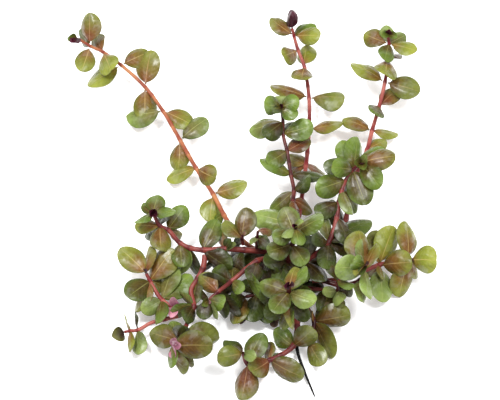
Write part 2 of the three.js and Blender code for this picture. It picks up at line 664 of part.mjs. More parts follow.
// All stems come before any leaf, so that a leaf is cut by a stem and never the other way round
const stems = SHOOTS.map((shoot) => {
  const solid = mainBody(keepClear(stemSolid(shoot.route, shoot.radius, 0), shoot.name));
  taken.push({ owner: shoot.name, solid: stemSolid(shoot.route, shoot.radius, GAP) });
  return solid;
});

SHOOTS.forEach((shoot, index) => {
  let whole = stems[index];
  for (const leaf of shoot.fused) {
    const small = leaf[6] <= SMALL_LENGTH || leaf[5] === "dark";
    const options = { offset: 0, sections: small ? SMALL_SECTIONS : FUSED_SECTIONS };
    whole = whole.add(keepClear(leafSolid(shoot, leaf, { ...options, grow: 0 }), shoot.name));
    taken.push({ owner: shoot.name, solid: leafSolid(shoot, leaf, { ...options, grow: GAP }) });
  }
  plant.add(meshOf(`${shoot.name}_stem`, mainBody(whole), shoot.colour, ROUGHNESS.stem));
  shoot.grown.forEach((leaf, number) => {
    const name = `${shoot.name}_leaf_${String(number + 1).padStart(2, "0")}`;
    const offset = shoot.radius[0] + GAP;
    const options = { offset, sections: GROWN_SECTIONS };
    const solid = leafSolid(shoot, leaf, { ...options, grow: 0 });
    const grown = leafSolid(shoot, leaf, { ...options, grow: GAP });
    addPiece(name, solid, grown, leaf[5], ROUGHNESS.leaf, name);
  });
});

// The origin is under the middle of the whole plant
const size = new THREE.Box3().setFromObject(plant);
const middle = size.getCenter(new THREE.Vector3());
plant.position.set(-middle.x, -middle.y, 0);

export default plant;
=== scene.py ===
import math
import random
from collections import namedtuple
from functools import partial

import bpy
import numpy as np
from mathutils import Color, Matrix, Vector


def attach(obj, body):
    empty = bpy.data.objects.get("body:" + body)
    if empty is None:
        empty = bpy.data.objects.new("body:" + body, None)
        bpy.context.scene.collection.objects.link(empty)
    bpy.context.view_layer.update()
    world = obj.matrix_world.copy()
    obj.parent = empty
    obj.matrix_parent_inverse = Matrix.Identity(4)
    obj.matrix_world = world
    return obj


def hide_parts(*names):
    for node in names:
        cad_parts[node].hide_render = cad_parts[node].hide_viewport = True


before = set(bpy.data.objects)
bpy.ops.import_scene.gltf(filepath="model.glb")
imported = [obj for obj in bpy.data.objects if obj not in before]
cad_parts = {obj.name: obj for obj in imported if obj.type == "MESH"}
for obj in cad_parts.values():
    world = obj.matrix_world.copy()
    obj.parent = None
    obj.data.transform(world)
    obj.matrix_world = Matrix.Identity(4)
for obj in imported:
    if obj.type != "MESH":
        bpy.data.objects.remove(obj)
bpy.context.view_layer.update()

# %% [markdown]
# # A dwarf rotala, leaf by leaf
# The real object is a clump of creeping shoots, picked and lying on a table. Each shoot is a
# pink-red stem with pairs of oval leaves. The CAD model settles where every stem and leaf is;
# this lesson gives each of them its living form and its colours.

MM = 0.001
LEAF_SEED = 7
rng = random.Random(LEAF_SEED)

# %% [markdown]
# ## The picture plane
# The plant is known from one picture that looks down on it. A place is written as millimetres
# to the right and up in that picture, with the height above the table as the third value. One
# function turns the three values into a point in space. The other way would be to model in
# plain X, Y and Z, but then no leaf could be set against the picture directly.

# %% The picture plane
VIEW_ELEVATION = math.radians(60)
VIEW_DISTANCE = 1400
RIGHT = Vector((1, 0, 0))
UP = Vector((0, math.sin(VIEW_ELEVATION), math.cos(VIEW_ELEVATION)))
TO_VIEWER = Vector((0, -math.cos(VIEW_ELEVATION), math.sin(VIEW_ELEVATION)))
CROWN_PLACE = (17.5, -37.5, 0)


def seen_at(across, up, height):
    eye = TO_VIEWER * VIEW_DISTANCE
    seen = RIGHT * across + UP * up
    share = (height - eye.z) / (seen.z - eye.z)
    return eye.lerp(seen, share)


# %% [markdown]
# The CAD model is centred on its own box, so the picture plane is shifted by the same amount.
# The highest point of the CAD rootstock gives the shift, because it stands over CROWN_PLACE.

# %% Where the picture plane lies in the frame
crown_top = max((v.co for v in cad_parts["crown"].data.vertices), key=lambda co: co.z)
SHIFT = crown_top / MM - seen_at(*CROWN_PLACE)
SHIFT.z = 0
print("picture plane shifted by", [round(v, 2) for v in SHIFT])


def place(point):
    return seen_at(*point) + SHIFT


# %% [markdown]
# ## The shoots
# A leaf is (route point, across, up, seen width, tone, length): across and up lead from the
# stem to the leaf's tip in the picture. The width is positive for a tip nearer the viewer than
# the stem and negative for one further away. A leaf without a length is LEAF_LENGTH long. A
# list given one by one fits here, because a living plant follows no formula. Grown leaves are
# pieces of their own, and the fused or the low ones of a shoot form one piece. The value after
# the colour makes a shoot's leaves paler and less flushed, or darker below 0.

# %% The shoots
OLIVE, SHADED_OLIVE, GREEN, DARK, GREY = "olive", "moss", "green", "dark", "grey"
LIGHT, COPPER, PURPLE, BUD, PINK = "light", "copper", "purple", "bud", "pink"
# Leaves made paler by the value after the colour are partly painted light shining through them
Shoot = namedtuple("Shoot", "name colour paler radii route grown fused low", defaults=[()])
SHOOTS = [Shoot(*row) for row in (
    ("long_shoot", "tan", 0.45, (1.15, 0.65),
     [(6, -28, 16), (-6.5, -17.5, 14), (-13, -7.5, 12), (-18.5, 3, 10.5), (-27, 16, 10), (-35, 30, 10),
      (-43.5, 44.5, 11), (-52.5, 56.5, 13), (-64.5, 67.5, 16), (-73.5, 74, 19), (-80, 77, 22),
      (-86.5, 81, 26)],
     [(10, -0.5, 17, -10.5, COPPER), (10, -4, -13, 10.5, OLIVE), (9, -4.5, 9, -7.5, COPPER, 13),
      (9, 4.5, -10, 11.5, OLIVE), (8, -17, -10.5, 11.5, OLIVE, 20), (8, 14, 7, -9.5, OLIVE, 16),
      (7, 3, 19, -13, COPPER, 19.5), (7, 0, -17, 12, OLIVE, 17.5), (6, -19, -2.5, -10, LIGHT, 19.5),
      (6, 15, -7, 11, OLIVE, 17), (5, 13.5, 11, -10, LIGHT, 17.5), (5, -1, -15, 10.5, OLIVE, 15.5),
      (4, 10, -5, 11, OLIVE), (3, 17, 5.5, 11, OLIVE, 18), (3, -1.5, -14, 11.5, OLIVE)],
     [(10, -6.5, 8, -6.5, GREEN, 13), (4, -15, -5.5, -8, OLIVE, 16.5), (2, -9, -5, -6, GREEN, 13),
      (11, -4.5, -0.5, 4.5, GREEN, 6.5), (11, -3, -2.5, 4.5, PURPLE, 6), (11, 0.5, -3, 4, PURPLE, 5)]),
    ("top_shoot", "coral", 0.2, (1.1, 0.7),
     [(20, -27.5, 17), (24.5, -7.5, 12), (28, 17.5, 10), (29, 27.5, 10), (29.5, 35, 10.5),
      (29.5, 51, 12), (27.2, 66.5, 15.5), (24, 75, 19), (22, 82, 23), (21, 86, 27)],
     [(8, -12, 9.2, -9.5, OLIVE), (8, 13, -0.5, 10, OLIVE), (7, -7.5, -3.5, 9, OLIVE, 14),
      (6, 1.5, 12, -9, OLIVE), (6, -1.5, -7, 11, OLIVE, 14), (5, -19.5, 6.8, 9.5, OLIVE, 20.5),
      (5, 18, 0.3, 6.5, SHADED_OLIVE, 18.5), (4, 17, 4, 8, OLIVE, 17.5)],
     [(8, 11, 6.5, -8, GREEN, 14), (9, -1, 9.5, -6.5, PURPLE, 11), (9, 0.5, 8, 5, PURPLE, 9),
      (2, -9, 5.5, -8, COPPER, 13), (2, -8.5, -1, -7, COPPER, 12), (2, 9.5, -4, -6, COPPER, 12)]),
    ("high_right_shoot", "coral", 0.4, (1.2, 0.7),
     [(27, -31, 14), (45, -18, 11), (51, 8, 11), (58.5, 25, 12), (61, 34.5, 12), (64.5, 46.5, 13),
      (67.5, 59, 16), (69, 70.5, 20.5), (69.5, 78, 25), (69, 83, 29)],
     [(8, -12.5, 5.5, -9.5, OLIVE), (8, 14, -3.5, 8.5, OLIVE), (7, -1.5, -8.5, 12.5, OLIVE),
      (6, -17, 10, -10.5, OLIVE, 20), (6, 17.5, -5, 12.5, SHADED_OLIVE, 18.5), (5, 9.5, 9, -8, COPPER),
      (4, -14.5, 6.5, -8, OLIVE, 16.5)],
     [(8, -2.5, -8.5, 9, GREEN, 12), (8, 9, 5, -7.5, LIGHT, 12), (8, -1, 10, -6.5, LIGHT, 11),
      (9, 4.5, -2, 4, GREEN, 6), (9, -3.5, -1, 4, GREEN, 6), (9, 0.5, 2, 3.5, PURPLE, 5),
      (7, 6, 3.5, -4, COPPER, 12), (5, -3, -3.5, 10, GREEN, 14), (4, 13.5, -1, -6, OLIVE),
      (3, 10, 5, -7, OLIVE, 12), (1, -2.5, 18, -9, DARK, 20)]),
    ("wide_leaf_shoot", "coral", 0.5, (1.2, 0.8),
     [(31, -41, 10), (47.5, -39, 9), (64.5, -32.5, 11), (72, -31, 12.5), (79, -30, 15)],
     [(2, 7.5, 19, -12, OLIVE, 20.5), (2, 15.5, 1.5, 13, OLIVE, 18), (2, 1.5, -18, 12.5, LIGHT, 19),
      (4, -0.5, 19, -12, OLIVE, 20), (4, 13.3, -0.2, 14, OLIVE, 15.5), (4, -4, -18.5, -12, OLIVE, 19.5)],
     [(2, -1, 17, -8, OLIVE, 18), (2, 1.5, -7, 3.5, COPPER, 9), (4, 2, 1, 2.5, PURPLE, 5)],
     [(2, -6, -6, -7, OLIVE, 12), (4, 5.5, -8, -8, OLIVE, 14)]),
    ("centre_top_rosette", "maroon", 0, (1.2, 0.8),
     [(19, -31, 21), (21, -22.5, 31), (22, -16.5, 38), (22.5, -13.5, 43)], [],
     [(2, -5, 12.5, -11, LIGHT), (2, 14, 8, 9.5, GREEN, 17), (3, -5.5, -5, 5.5, GREY, 9),
      (3, 4, 2.5, 3.5, LIGHT, 7), (3, 2, -8.5, 7.5, GREEN, 11), (1, 6.5, -9, 9, GREEN, 14),
      (2, -10.5, -2, 7, GREEN, 12.5), (1, -12, -3, 7.5, GREEN, 14.5), (3, 1, 1, 2.5, PURPLE, 4),
      (3, -1.5, 0.5, 2.5, PURPLE, 4), (0, -6, -10, 9, DARK, 14), (0, -12, 1, 8, DARK, 14),
      (0, 9, -9, 9, DARK), (0, 1, -13, 8, DARK, 16)]),
    ("centre_rosette", "maroon", 0, (1.3, 0.9),
     [(18, -42, 17), (19, -50, 22), (19.5, -50, 29), (19.5, -46, 36), (19.5, -43, 41)], [],
     [(3, -14, 4.5, -10, GREEN, 16), (3, 12.5, -4, 9.5, LIGHT), (3, -8, -9, 9, GREEN),
      (3, 7.5, 12.5, -7, GREEN, 16), (3, 3, 12, -7, OLIVE), (2, -3, -14, 5.5, GREEN, 16),
      (2, 2, -13.5, 7, COPPER, 16), (4, -2.5, 0.5, 4, PURPLE, 6), (1, -14, 3, 9, DARK),
      (1, -11, -8, 9, DARK), (1, 12, 3, 9, DARK), (1, 10, -9, 9, DARK), (4, 2, 0, 3.5, PURPLE, 6)]),
    ("right_rosette", "maroon", 0.4, (1.2, 0.8),
     [(30, -37.5, 14), (45, -42.5, 15), (55, -40, 21), (57, -35, 28), (57.5, -32.5, 33)], [],
     [(3, -14, 1.5, 13, LIGHT), (3, 0, 15, -8.5, LIGHT, 16), (3, 6, 13, -6.5, OLIVE),
      (3, 3, -14, 7, LIGHT), (3, -2, 19, -9, OLIVE, 20), (2, 1, -10, 6, LIGHT, 13),
      (4, -6, 2, 8, GREEN, 9), (4, -5, -5, 2.5, COPPER, 8), (4, -1.5, -5, 4, DARK, 7),
      (4, 1.5, 0.5, 2.5, PURPLE, 5)]),
    ("dark_shoot", "maroon", 0.2, (1.1, 0.7),
     [(16.5, -28, 19), (20.5, -12.5, 18), (21.5, 0, 16), (22, 4.5, 16), (20.5, 12.5, 17),
      (18.5, 24.5, 19), (16.5, 33, 21.5), (16.5, 39, 25), (15.5, 46.5, 31)], [],
     [(8, -8.5, 1, 10, GREEN, 10), (8, 0, 5.5, -7, GREY, 7), (8, 9, 3, 9, GREEN, 10),
      (8, 7.5, -5.5, 8, GREEN, 10), (8, -4, -3, 4.5, DARK, 6), (7, -17, -3.9, -7.5, LIGHT, 18),
      (7, -9.5, -7, 9, DARK, 14), (6, 15, 4.5, 9, GREEN, 16), (6, 8, 6.5, -6, DARK, 13),
      (5, 11.5, 6.5, -9, COPPER, 14), (5, -10, -6, 9, GREEN, 14), (4, -15.5, 8, 8.5, GREEN, 17.5),
      (4, 17, -1.5, 7.5, DARK, 17.5), (3, 8, 6.5, 8, DARK, 13), (3, -12, -10, -8.5, GREEN, 16),
      (2, 3, -8, 4, COPPER, 12), (2, 10, -6, -8, COPPER, 13), (1, -19, 5.5, -12, LIGHT, 20.5),
      (8, 1, 1, 2.5, PURPLE, 4)]),
    ("right_shoot", "red", 0, (1.2, 0.8),
     [(27.5, -31, 18), (39, -21.5, 23), (43.5, -8.5, 27), (44.5, -1, 29), (46, 5, 30.5), (48, 10, 32.5),
      (51.5, 15, 35), (55.5, 18.5, 39)], [],
     [(7, 2.5, 3.5, 5, LIGHT, 7), (7, 16.5, 3.5, 11, OLIVE, 17.5), (7, 11, 8, -7.5, GREEN, 14.5),
      (7, 9, -12, 11, GREEN, 16), (6, -5, 15, -11, GREEN, 17.5), (6, 2.5, 16.5, -10, GREEN, 17.5),
      (6, -10.5, 1, 10, GREEN, 14), (6, -14.5, 3, -7, DARK), (6, 6, -17, 13, GREEN, 19),
      (7, -3.5, 0.5, 6, GREEN, 7), (7, 1, -3.5, 5, GREEN, 7), (5, 2, -6, -4, COPPER, 10),
      (5, -15, -5, 11.5, GREEN, 17), (4, 5, -12, 6, LIGHT, 14), (4, 7.5, -11, -8, GREEN, 14),
      (3, -12, -5, 7, DARK, 14), (2, 6.5, -14, 10, DARK, 16), (1, 13, -4, -7, DARK, 14),
      (1, 21, 11.5, -9.5, DARK, 24.5), (1, -1.5, -12.5, 10, DARK), (1, -1, 13, -5, LIGHT, 14),
      (1, -8, 4, 6, DARK, 12), (7, 0, -0.5, 2.5, PURPLE, 4), (0, 11, 3, -8, DARK),
      (0, -4, -10, 8, DARK, 14), (0, 9, -9, 9, DARK, 16), (0, 2, 13, 9, DARK)]),
    ("left_shoot", "red", 0.3, (1.4, 0.9),
     [(9, -26, 19), (-2.5, -25, 21), (-12.5, -24.5, 21), (-23.5, -25, 19.5), (-30, -24, 19),
      (-35, -21.5, 19), (-41, -15, 19), (-45, -13, 21), (-48.5, -6.5, 26)], [],
     [(8, 2.5, 9, -10, GREEN, 10), (8, -5, 5, -6, GREEN, 9), (8, -9, -4.5, 5, GREEN, 11),
      (8, 11, 0.5, 6.5, GREEN, 11.5), (7, -12.5, 0.5, -5.5, OLIVE, 13), (7, 1, -12, 10.5, OLIVE, 14),
      (6, 8.5, 12, -10, GREEN, 15.5), (6, 7, -2, -6, COPPER, 12), (5, 1, -11.5, 9.5, GREEN, 13),
      (4, -7, -12, -9, LIGHT), (4, 2, -13, -8, DARK, 16), (1, -8, -6, -8, DARK, 14),
      (3, 6.5, 15, -11, GREEN, 17), (3, 14, -9, 11, DARK, 17.5), (2, -3, 11.5, -5, COPPER, 14),
      (2, 3, 5, 4, DARK, 7), (2, 5.5, 2.5, 4, GREY, 7), (0, -13, -5, -7, DARK),
      (8, -1.5, 1, 5, PURPLE, 5), (8, 2, -1.5, 4, PURPLE, 5)],
     [(7, -8, -5, -6, DARK, 13), (7, 1.5, 6, -5, DARK, 11)]),
    ("pointed_shoot", "maroon", 0, (0.9, 0.7),
     [(-3.5, -22, 24), (-4, -19.5, 28), (-3.5, -17.5, 32)], [],
     [(1, 2, 15.5, -9.5, SHADED_OLIVE, 16), (1, -8.5, 9, -6, SHADED_OLIVE, 14), (2, 2, 2, 2.5, COPPER, 4)],
     [(0, -4.5, 2, -5.5, DARK, 9)]),
    ("small_dark_shoot", "maroon", 0, (0.7, 0.6),
     [(6.5, -25, 21.5), (3.5, -24, 24), (3.5, -19, 29), (4, -15.5, 33)], [],
     [(3, 7, 0.5, -4, COPPER, 9), (2, 5.5, -4, 6, DARK, 9), (2, -3, -3, 3.5, GREY, 6),
      (1, 3, 6, 4, GREY, 8)],
     [(1, 5, 4, 7, DARK, 10)]),
    ("front_left_shoot", "red", 0, (1.3, 0.8),
     [(9.5, -29, 21), (3.5, -30.5, 25), (-2.5, -35, 24), (-9, -40.5, 22), (-16, -46, 18),
      (-20.5, -50, 17)], [],
     [(3, 1, 8.5, -9, GREEN, 14), (3, 5, -5, 6, GREEN, 10), (2, 8.5, -14.5, 6, GREEN, 18),
      (2, -7, 5, -8, DARK, 14), (5, 7.5, -1.5, 8.5, GREEN, 10), (5, 4, -9, 3.5, GREY, 11),
      (5, -3.5, -2.5, 4, GREEN, 6), (5, -4, 4, -4, DARK, 7), (4, 6, -6, -5, DARK, 10),
      (5, 1, -1, 2, PINK, 4), (5, -3, -9, 8, DARK, 11), (1, -3, -9, 9, DARK, 13),
      (4, -9.5, 8, -9, COPPER, 14), (4, 10, -13, -8, DARK, 17), (4, 3, -13, -8, DARK, 14),
      (3, -10, 4.5, -8, DARK, 14), (4, 9, 2, -7, DARK, 13)]),
    ("bottom_left_shoot", "red", -0.5, (1.3, 0.9),
     [(-22.5, -27.5, 17.5), (-23.5, -34, 15.5), (-26, -39, 14), (-29.5, -45, 12.5), (-28, -53, 12),
      (-32, -63, 12.5), (-36, -70, 15), (-39, -73, 20)], [],
     [(2, 15, -4, 8, DARK, 17), (4, -8, 6.5, -4.5, LIGHT, 11), (4, -4, -7, 8, DARK, 12),
      (4, -12, -5, 8, GREEN, 13), (2, -3, -13, 7, GREEN, 14), (4, 8.5, -3.5, -4.5, SHADED_OLIVE, 11),
      (6, -14, 3.5, -12, SHADED_OLIVE, 16), (6, 20, 0.5, -13, SHADED_OLIVE, 22), (6, 3, 7, 9, DARK, 13),
      (6, -3, 9, -8, GREEN, 12), (7, 19.5, 0.5, 14, SHADED_OLIVE, 21), (7, 0, -10, 5, GREEN, 12),
      (7, 5, -14, -7, SHADED_OLIVE, 16), (7, 9, -11, -7, SHADED_OLIVE, 16), (7, 4.5, 1, 5, PINK, 7),
      (7, 2, 4, 4, PINK, 6), (7, 2, -5, 3.5, PINK, 8)],
     [(1, 6, 2, -6, DARK, 12)]),
    ("low_left_shoot", "coral", 0, (1.1, 0.8),
     [(-30.5, -54.5, 11), (-38, -53.5, 10.5), (-44, -50, 11), (-50, -40.5, 13), (-52, -36.5, 16)], [],
     [(4, -13, 12, -12, OLIVE, 18), (4, 1.5, 13, -5, COPPER, 14), (3, 11, 16, -11, OLIVE, 19.5),
      (3, -10.5, -7.5, 12, GREEN, 16), (3, 12.5, -4.5, -6, GREEN), (2, 14, 12.5, -10, GREEN, 19),
      (3, -7, -15, 8, COPPER, 17), (2, 5, 17, -9, LIGHT, 19), (2, -10, -5, 9, GREY, 12),
      (2, -2, -11, 7, GREEN, 14), (4, 0.5, 2, 2, PURPLE, 4), (1, 0, 5, 5, PINK, 7),
      (1, -1.5, -5, 5, PINK, 7)]),
    ("side_shoot", "coral", -0.4, (1, 0.6),
     [(-36, -58, 9), (-49.5, -61.5, 7.5), (-56, -65, 7), (-60, -65.5, 8), (-63, -66, 9.5)], [],
     [(4, -5.5, -2, 7.5, BUD, 8), (3, -3, 8, -2.5, OLIVE, 9), (2, -2, 8.5, -2, DARK, 10),
      (3, 0, -10, 4, OLIVE, 11), (2, 0.5, -11.5, 6, GREY, 13)]),
    ("small_right_shoot", "maroon", 0, (1, 0.7),
     [(29, -44, 12), (37.5, -45, 13), (43.5, -45.5, 15.5), (43.5, -40.5, 21)], [],
     [(3, 8.5, -2.5, 4.5, GREEN, 10), (3, -2.5, 11.5, -6, GREEN, 13), (2, -7, -0.5, 6, GREY, 9),
      (2, 1.5, -5.5, 7, GREY, 10), (2, 8, 1, -6, DARK, 12), (1, -11, 3, -7, DARK, 13),
      (1, -3, -10, 6, DARK, 12)]),
    ("low_right_shoot", "maroon", 0, (1.2, 0.9),
     [(23, -46, 10), (27.5, -52.5, 9), (32, -60.5, 8.5), (29.5, -71, 7.5)], [],
     [(2, 15.5, 9, -11, SHADED_OLIVE, 18.5), (2, 17.5, 3, 11, SHADED_OLIVE, 18.5), (2, 8.5, -18, 10, SHADED_OLIVE, 20.5),
      (3, 6.5, -10.5, 9, SHADED_OLIVE), (2, -1, 5, 2, COPPER, 7)]),
    ("front_shoot", "red", 0, (1.4, 0.9),
     [(20, -48, 9), (23.5, -61, 7), (21.5, -73, 7), (10, -80, 6.5), (-1, -82, 7), (-3.5, -76.5, 14)], [],
     [(2, 9.5, 9, 11, SHADED_OLIVE, 16), (2, -9.5, 7.5, -10, GREEN, 14), (3, 16, -8, 12, SHADED_OLIVE, 18.5),
      (3, -9, -5, 11, COPPER, 14), (3, 5, 3, -5, GREY, 9), (4, -3.2, -17, 11, COPPER, 18),
      (5, -12.2, -2, 10.5, SHADED_OLIVE, 13.5), (5, -9, 6, -7, DARK, 12), (4, 7, 15, -10, GREEN, 17),
      (5, 6, -2, 6, GREY, 9), (5, 0.5, 0.5, 2.5, PURPLE, 4)],
     [(3, -1.5, 8, -6.5, OLIVE, 12)]),
    ("under_shoot", "maroon", 0, (1.1, 0.8),
     [(10, -42.5, 12), (4, -46.5, 9), (-2.5, -48.5, 7.5)], [],
     [(1, -4, -13.5, 10.5, DARK, 16), (1, 5.5, -14.5, 8.5, DARK, 16.5), (2, -5, -1.5, 9, DARK, 12),
      (2, -5, -12.5, 9.5, OLIVE, 15.5), (0, 1, 10, 9, DARK, 14), (0, -8, 6, 9, DARK, 13),
      (0, 9, -11, 8, DARK), (1, -9, 5, 8, DARK, 13)]),
)]
print(len(SHOOTS), "shoots,", sum(len(s.grown) + len(s.fused) for s in SHOOTS), "leaves")


# %% [markdown]
# ## Node helpers
# The same few steps build every node tree: make a node, set its options, and feed each input
# with a number or with another node's output. Colours are chosen as web colours and turned
# into the linear values that a shader uses.

# %% Node helpers
def linear(web):
    channels = [int(web[start:start + 2], 16) / 255 for start in (1, 3, 5)]
    return (*Color(channels).from_srgb_to_scene_linear(), 1)


def feed(tree, node, inputs):
    """Gives each named input its value, or a link where the value is a socket."""
    for label, value in inputs.items():
        if isinstance(value, bpy.types.NodeSocket):
            tree.links.new(value, node.inputs[label])
        else:
            node.inputs[label].default_value = value
    return node


def add_node(tree, kind, inputs, **options):
    node = tree.nodes.new(kind)
    for name, value in options.items():
        setattr(node, name, value)
    return feed(tree, node, inputs)


def new_group(name, inputs, outputs, kind="ShaderNodeTree"):
    """A node group with named sockets, its input sockets and its output node."""
    group = bpy.data.node_groups.new(name, kind)
    for label, sort, value in inputs:
        socket = group.interface.new_socket(label, in_out="INPUT", socket_type="NodeSocket" + sort)
        if value is not None:
            socket.default_value = value
    for label, sort in outputs:
        group.interface.new_socket(label, in_out="OUTPUT", socket_type="NodeSocket" + sort)
    return group, group.nodes.new("NodeGroupInput").outputs, group.nodes.new("NodeGroupOutput")


def compute(tree, operation, *values, clamp=False):
    inputs = dict(enumerate(values))
    return add_node(tree, "ShaderNodeMath", inputs, operation=operation, use_clamp=clamp).outputs[0]


def ramp(tree, value, low, high):
    inputs = {"Value": value, "From Min": low, "From Max": high}
    node = add_node(tree, "ShaderNodeMapRange", inputs, interpolation_type="SMOOTHSTEP")
    return node.outputs["Result"]


def mixed(tree, share, first, second):
    inputs = {0: share, 6: first, 7: second}
    return add_node(tree, "ShaderNodeMix", inputs, data_type="RGBA").outputs[2]


def bump(tree, height, strength, distance):
    inputs = {"Height": height, "Strength": strength, "Distance": distance}
    return add_node(tree, "ShaderNodeBump", inputs).outputs["Normal"]


# %% [markdown]
# ## Mottling shared by every living surface
# Leaves and stems of this plant are never one even colour: small cells and soft patches show
# through the skin. One node group makes both from noise on the object's coordinates, and every
# material uses it at its own scale and strength.

# %% The tissue group
TISSUE_SCALES = {
    "leaf": (170, 1300), "puckers": (420, 1500), "gloss": (210, 1500), "stem": (320, 2600),
    "root": (500, 1800),
}
tissue, given, made = new_group(
    "living_tissue", [("Patch Scale", "Float", 180.0), ("Cell Scale", "Float", 1500.0)],
    [("Patches", "Float"), ("Cells", "Float")])
coords = add_node(tissue, "ShaderNodeTexCoord", {}).outputs["Object"]
for scale, output, detail in (("Patch Scale", "Patches", 3), ("Cell Scale", "Cells", 2)):
    noise = add_node(tissue, "ShaderNodeTexNoise",
                     {"Vector": coords, "Scale": given[scale], "Detail": detail})
    feed(tissue, made, {output: noise.outputs["Fac"]})
print("nodes in the tissue:", len(tissue.nodes))


def tissue_at(tree, use):
    """Patches and cells at the scales of one use."""
    patch_scale, cell_scale = TISSUE_SCALES[use]
    inputs = {"Patch Scale": patch_scale, "Cell Scale": cell_scale}
    return add_node(tree, "ShaderNodeGroup", inputs, node_tree=tissue).outputs


# %% [markdown]
# ## The leaf pattern
# Along a blade the colour runs from a copper flush at the base to green at the tip, and a pale
# midrib with seven pairs of side veins arches towards the edge. The pattern follows the leaf,
# so it reads the leaf's own UV map: U is 0 at the stalk and 1 at the tip, and V is 0.5 on the
# midrib. It could be painted as an image, but nodes stay sharp at any distance. Gloss is left
# to patches, because a wavy blade shines in some places and stays dull in others.

# %% The leaf pattern group
RIB_EDGE, RIB_TAPER = 0.034, 0.028
VEIN_PAIRS, VEIN_SLANT, VEIN_SHARE = 7, 0.62, 0.13
PATCHY_FLUSH, LEAF_FLUSH = 0.55, 0.3
PATCHY_LIGHT, LEAF_LIGHT, RICHNESS = 1.2, 0.28, 1.06
CELL_RELIEF, PUCKER_RELIEF, QUILT_RELIEF = 0.12, 1.6, 0.13
PATCHY_SHINE, LEAST_SHINE = 0.4, 0.12
# Where each feature starts and where it is full
SPANS = {
    "rib": (1.15, 0.35), "vein": (0.86, 1.0), "vein end": (0.46, 0.3), "flush": (1.2, 0.5),
    "flush edge": (0.56, 0.2), "tip": (0.35, 0.95), "quilt": (0.04, 0.16), "gloss": (0.46, 0.62),
}
leaf_pattern, given, made = new_group(
    "leaf_pattern",
    [("Blade", "Color", (0.1, 0.2, 0.05, 1)), ("Tip", "Color", (0.2, 0.3, 0.05, 1)),
     ("Flush", "Color", (0.3, 0.1, 0.05, 1)), ("Rib", "Color", (0.6, 0.6, 0.3, 1)),
     ("Flush Amount", "Float", 0.6), ("Rib Amount", "Float", 0.7)],
    [("Color", "Color"), ("Relief", "Float"), ("Shine", "Float"), ("Gloss", "Float")])
work = partial(compute, leaf_pattern)
blend = partial(mixed, leaf_pattern)


def span(value, feature):
    return ramp(leaf_pattern, value, *SPANS[feature])


uv = add_node(leaf_pattern, "ShaderNodeUVMap", {}, uv_map="leaf").outputs["UV"]
u, v = add_node(leaf_pattern, "ShaderNodeSeparateXYZ", {0: uv}).outputs[:2]
tone_and_light = add_node(leaf_pattern, "ShaderNodeAttribute", {}, attribute_name="leaf_tone_and_light").outputs["Fac"]
patches, cells = tissue_at(leaf_pattern, "leaf")
from_rib = work("ABSOLUTE", work("SUBTRACT", v, 0.5))
# The rib narrows towards the tip and the side veins leave it at a slant
rib_edge = work("MULTIPLY_ADD", u, -RIB_TAPER, RIB_EDGE)
rib = span(work("DIVIDE", from_rib, rib_edge), "rib")
slant = work("MULTIPLY_ADD", from_rib, -VEIN_SLANT, u)
wave = work("COSINE", work("MULTIPLY", slant, 2 * math.pi * VEIN_PAIRS))
vein = work("MULTIPLY", span(wave, "vein"), span(from_rib, "vein end"))
# The flush fades along the blade, breaks up in patches and is weaker on the paler leaves
fade = work("MULTIPLY_ADD", patches, PATCHY_FLUSH, u)
flush = span(work("MULTIPLY_ADD", tone_and_light, LEAF_FLUSH, fade), "flush")
flush = work("MULTIPLY", flush, given["Flush Amount"], clamp=True)
flush = work("MULTIPLY", flush, span(from_rib, "flush edge"))
green = blend(span(u, "tip"), given["Blade"], given["Tip"])
# Brightness per leaf: partly its own tone, partly painted light shining through the outer leaves
light = work("MULTIPLY_ADD", tone_and_light, LEAF_LIGHT, 1.0)
light = work("MULTIPLY_ADD", work("SUBTRACT", patches, 0.5), PATCHY_LIGHT, light)
colour = blend(flush, green, given["Flush"])
lit = add_node(leaf_pattern, "ShaderNodeHueSaturation",
               {"Color": colour, "Value": light, "Saturation": RICHNESS}).outputs["Color"]
veins = work("MULTIPLY", vein, work("MULTIPLY", given["Rib Amount"], VEIN_SHARE))
lines = work("MAXIMUM", work("MULTIPLY", rib, given["Rib Amount"]), veins)
# The skin bulges between the side veins and puckers in patches
quilt = work("MULTIPLY", work("MULTIPLY", wave, span(from_rib, "quilt")), -QUILT_RELIEF)
puckers = tissue_at(leaf_pattern, "puckers")["Patches"]
bulges = work("MULTIPLY_ADD", puckers, PUCKER_RELIEF, quilt)
feed(leaf_pattern, made, {
    "Color": blend(lines, lit, given["Rib"]),
    "Relief": work("MULTIPLY_ADD", cells, CELL_RELIEF, bulges),
    "Shine": work("MULTIPLY_ADD", patches, PATCHY_SHINE, LEAST_SHINE),
    "Gloss": span(tissue_at(leaf_pattern, "gloss")["Patches"], "gloss"),
})
print("nodes in the leaf pattern:", len(leaf_pattern.nodes))

# %% [markdown]
# ## Leaf materials
# Outer leaves are olive with copper at the base, inner ones a deeper green, and the youngest
# light, grey-green or purple. A darker olive is painted shade on olive leaves that lie in shade,
# the dark tone is partly the inner leaves' own deep green and partly painted shade deep in the
# clump, and the light tone is partly the pale green of young leaves and partly a painted
# highlight. Each tone is a material of its own with the shared pattern. The underside is duller
# and warmer, which Backfacing can't tell on a closed leaf, so the mesh gives its lower faces a
# second material slot. A waxy coat makes the sheen, and the skin under it hardly mirrors.

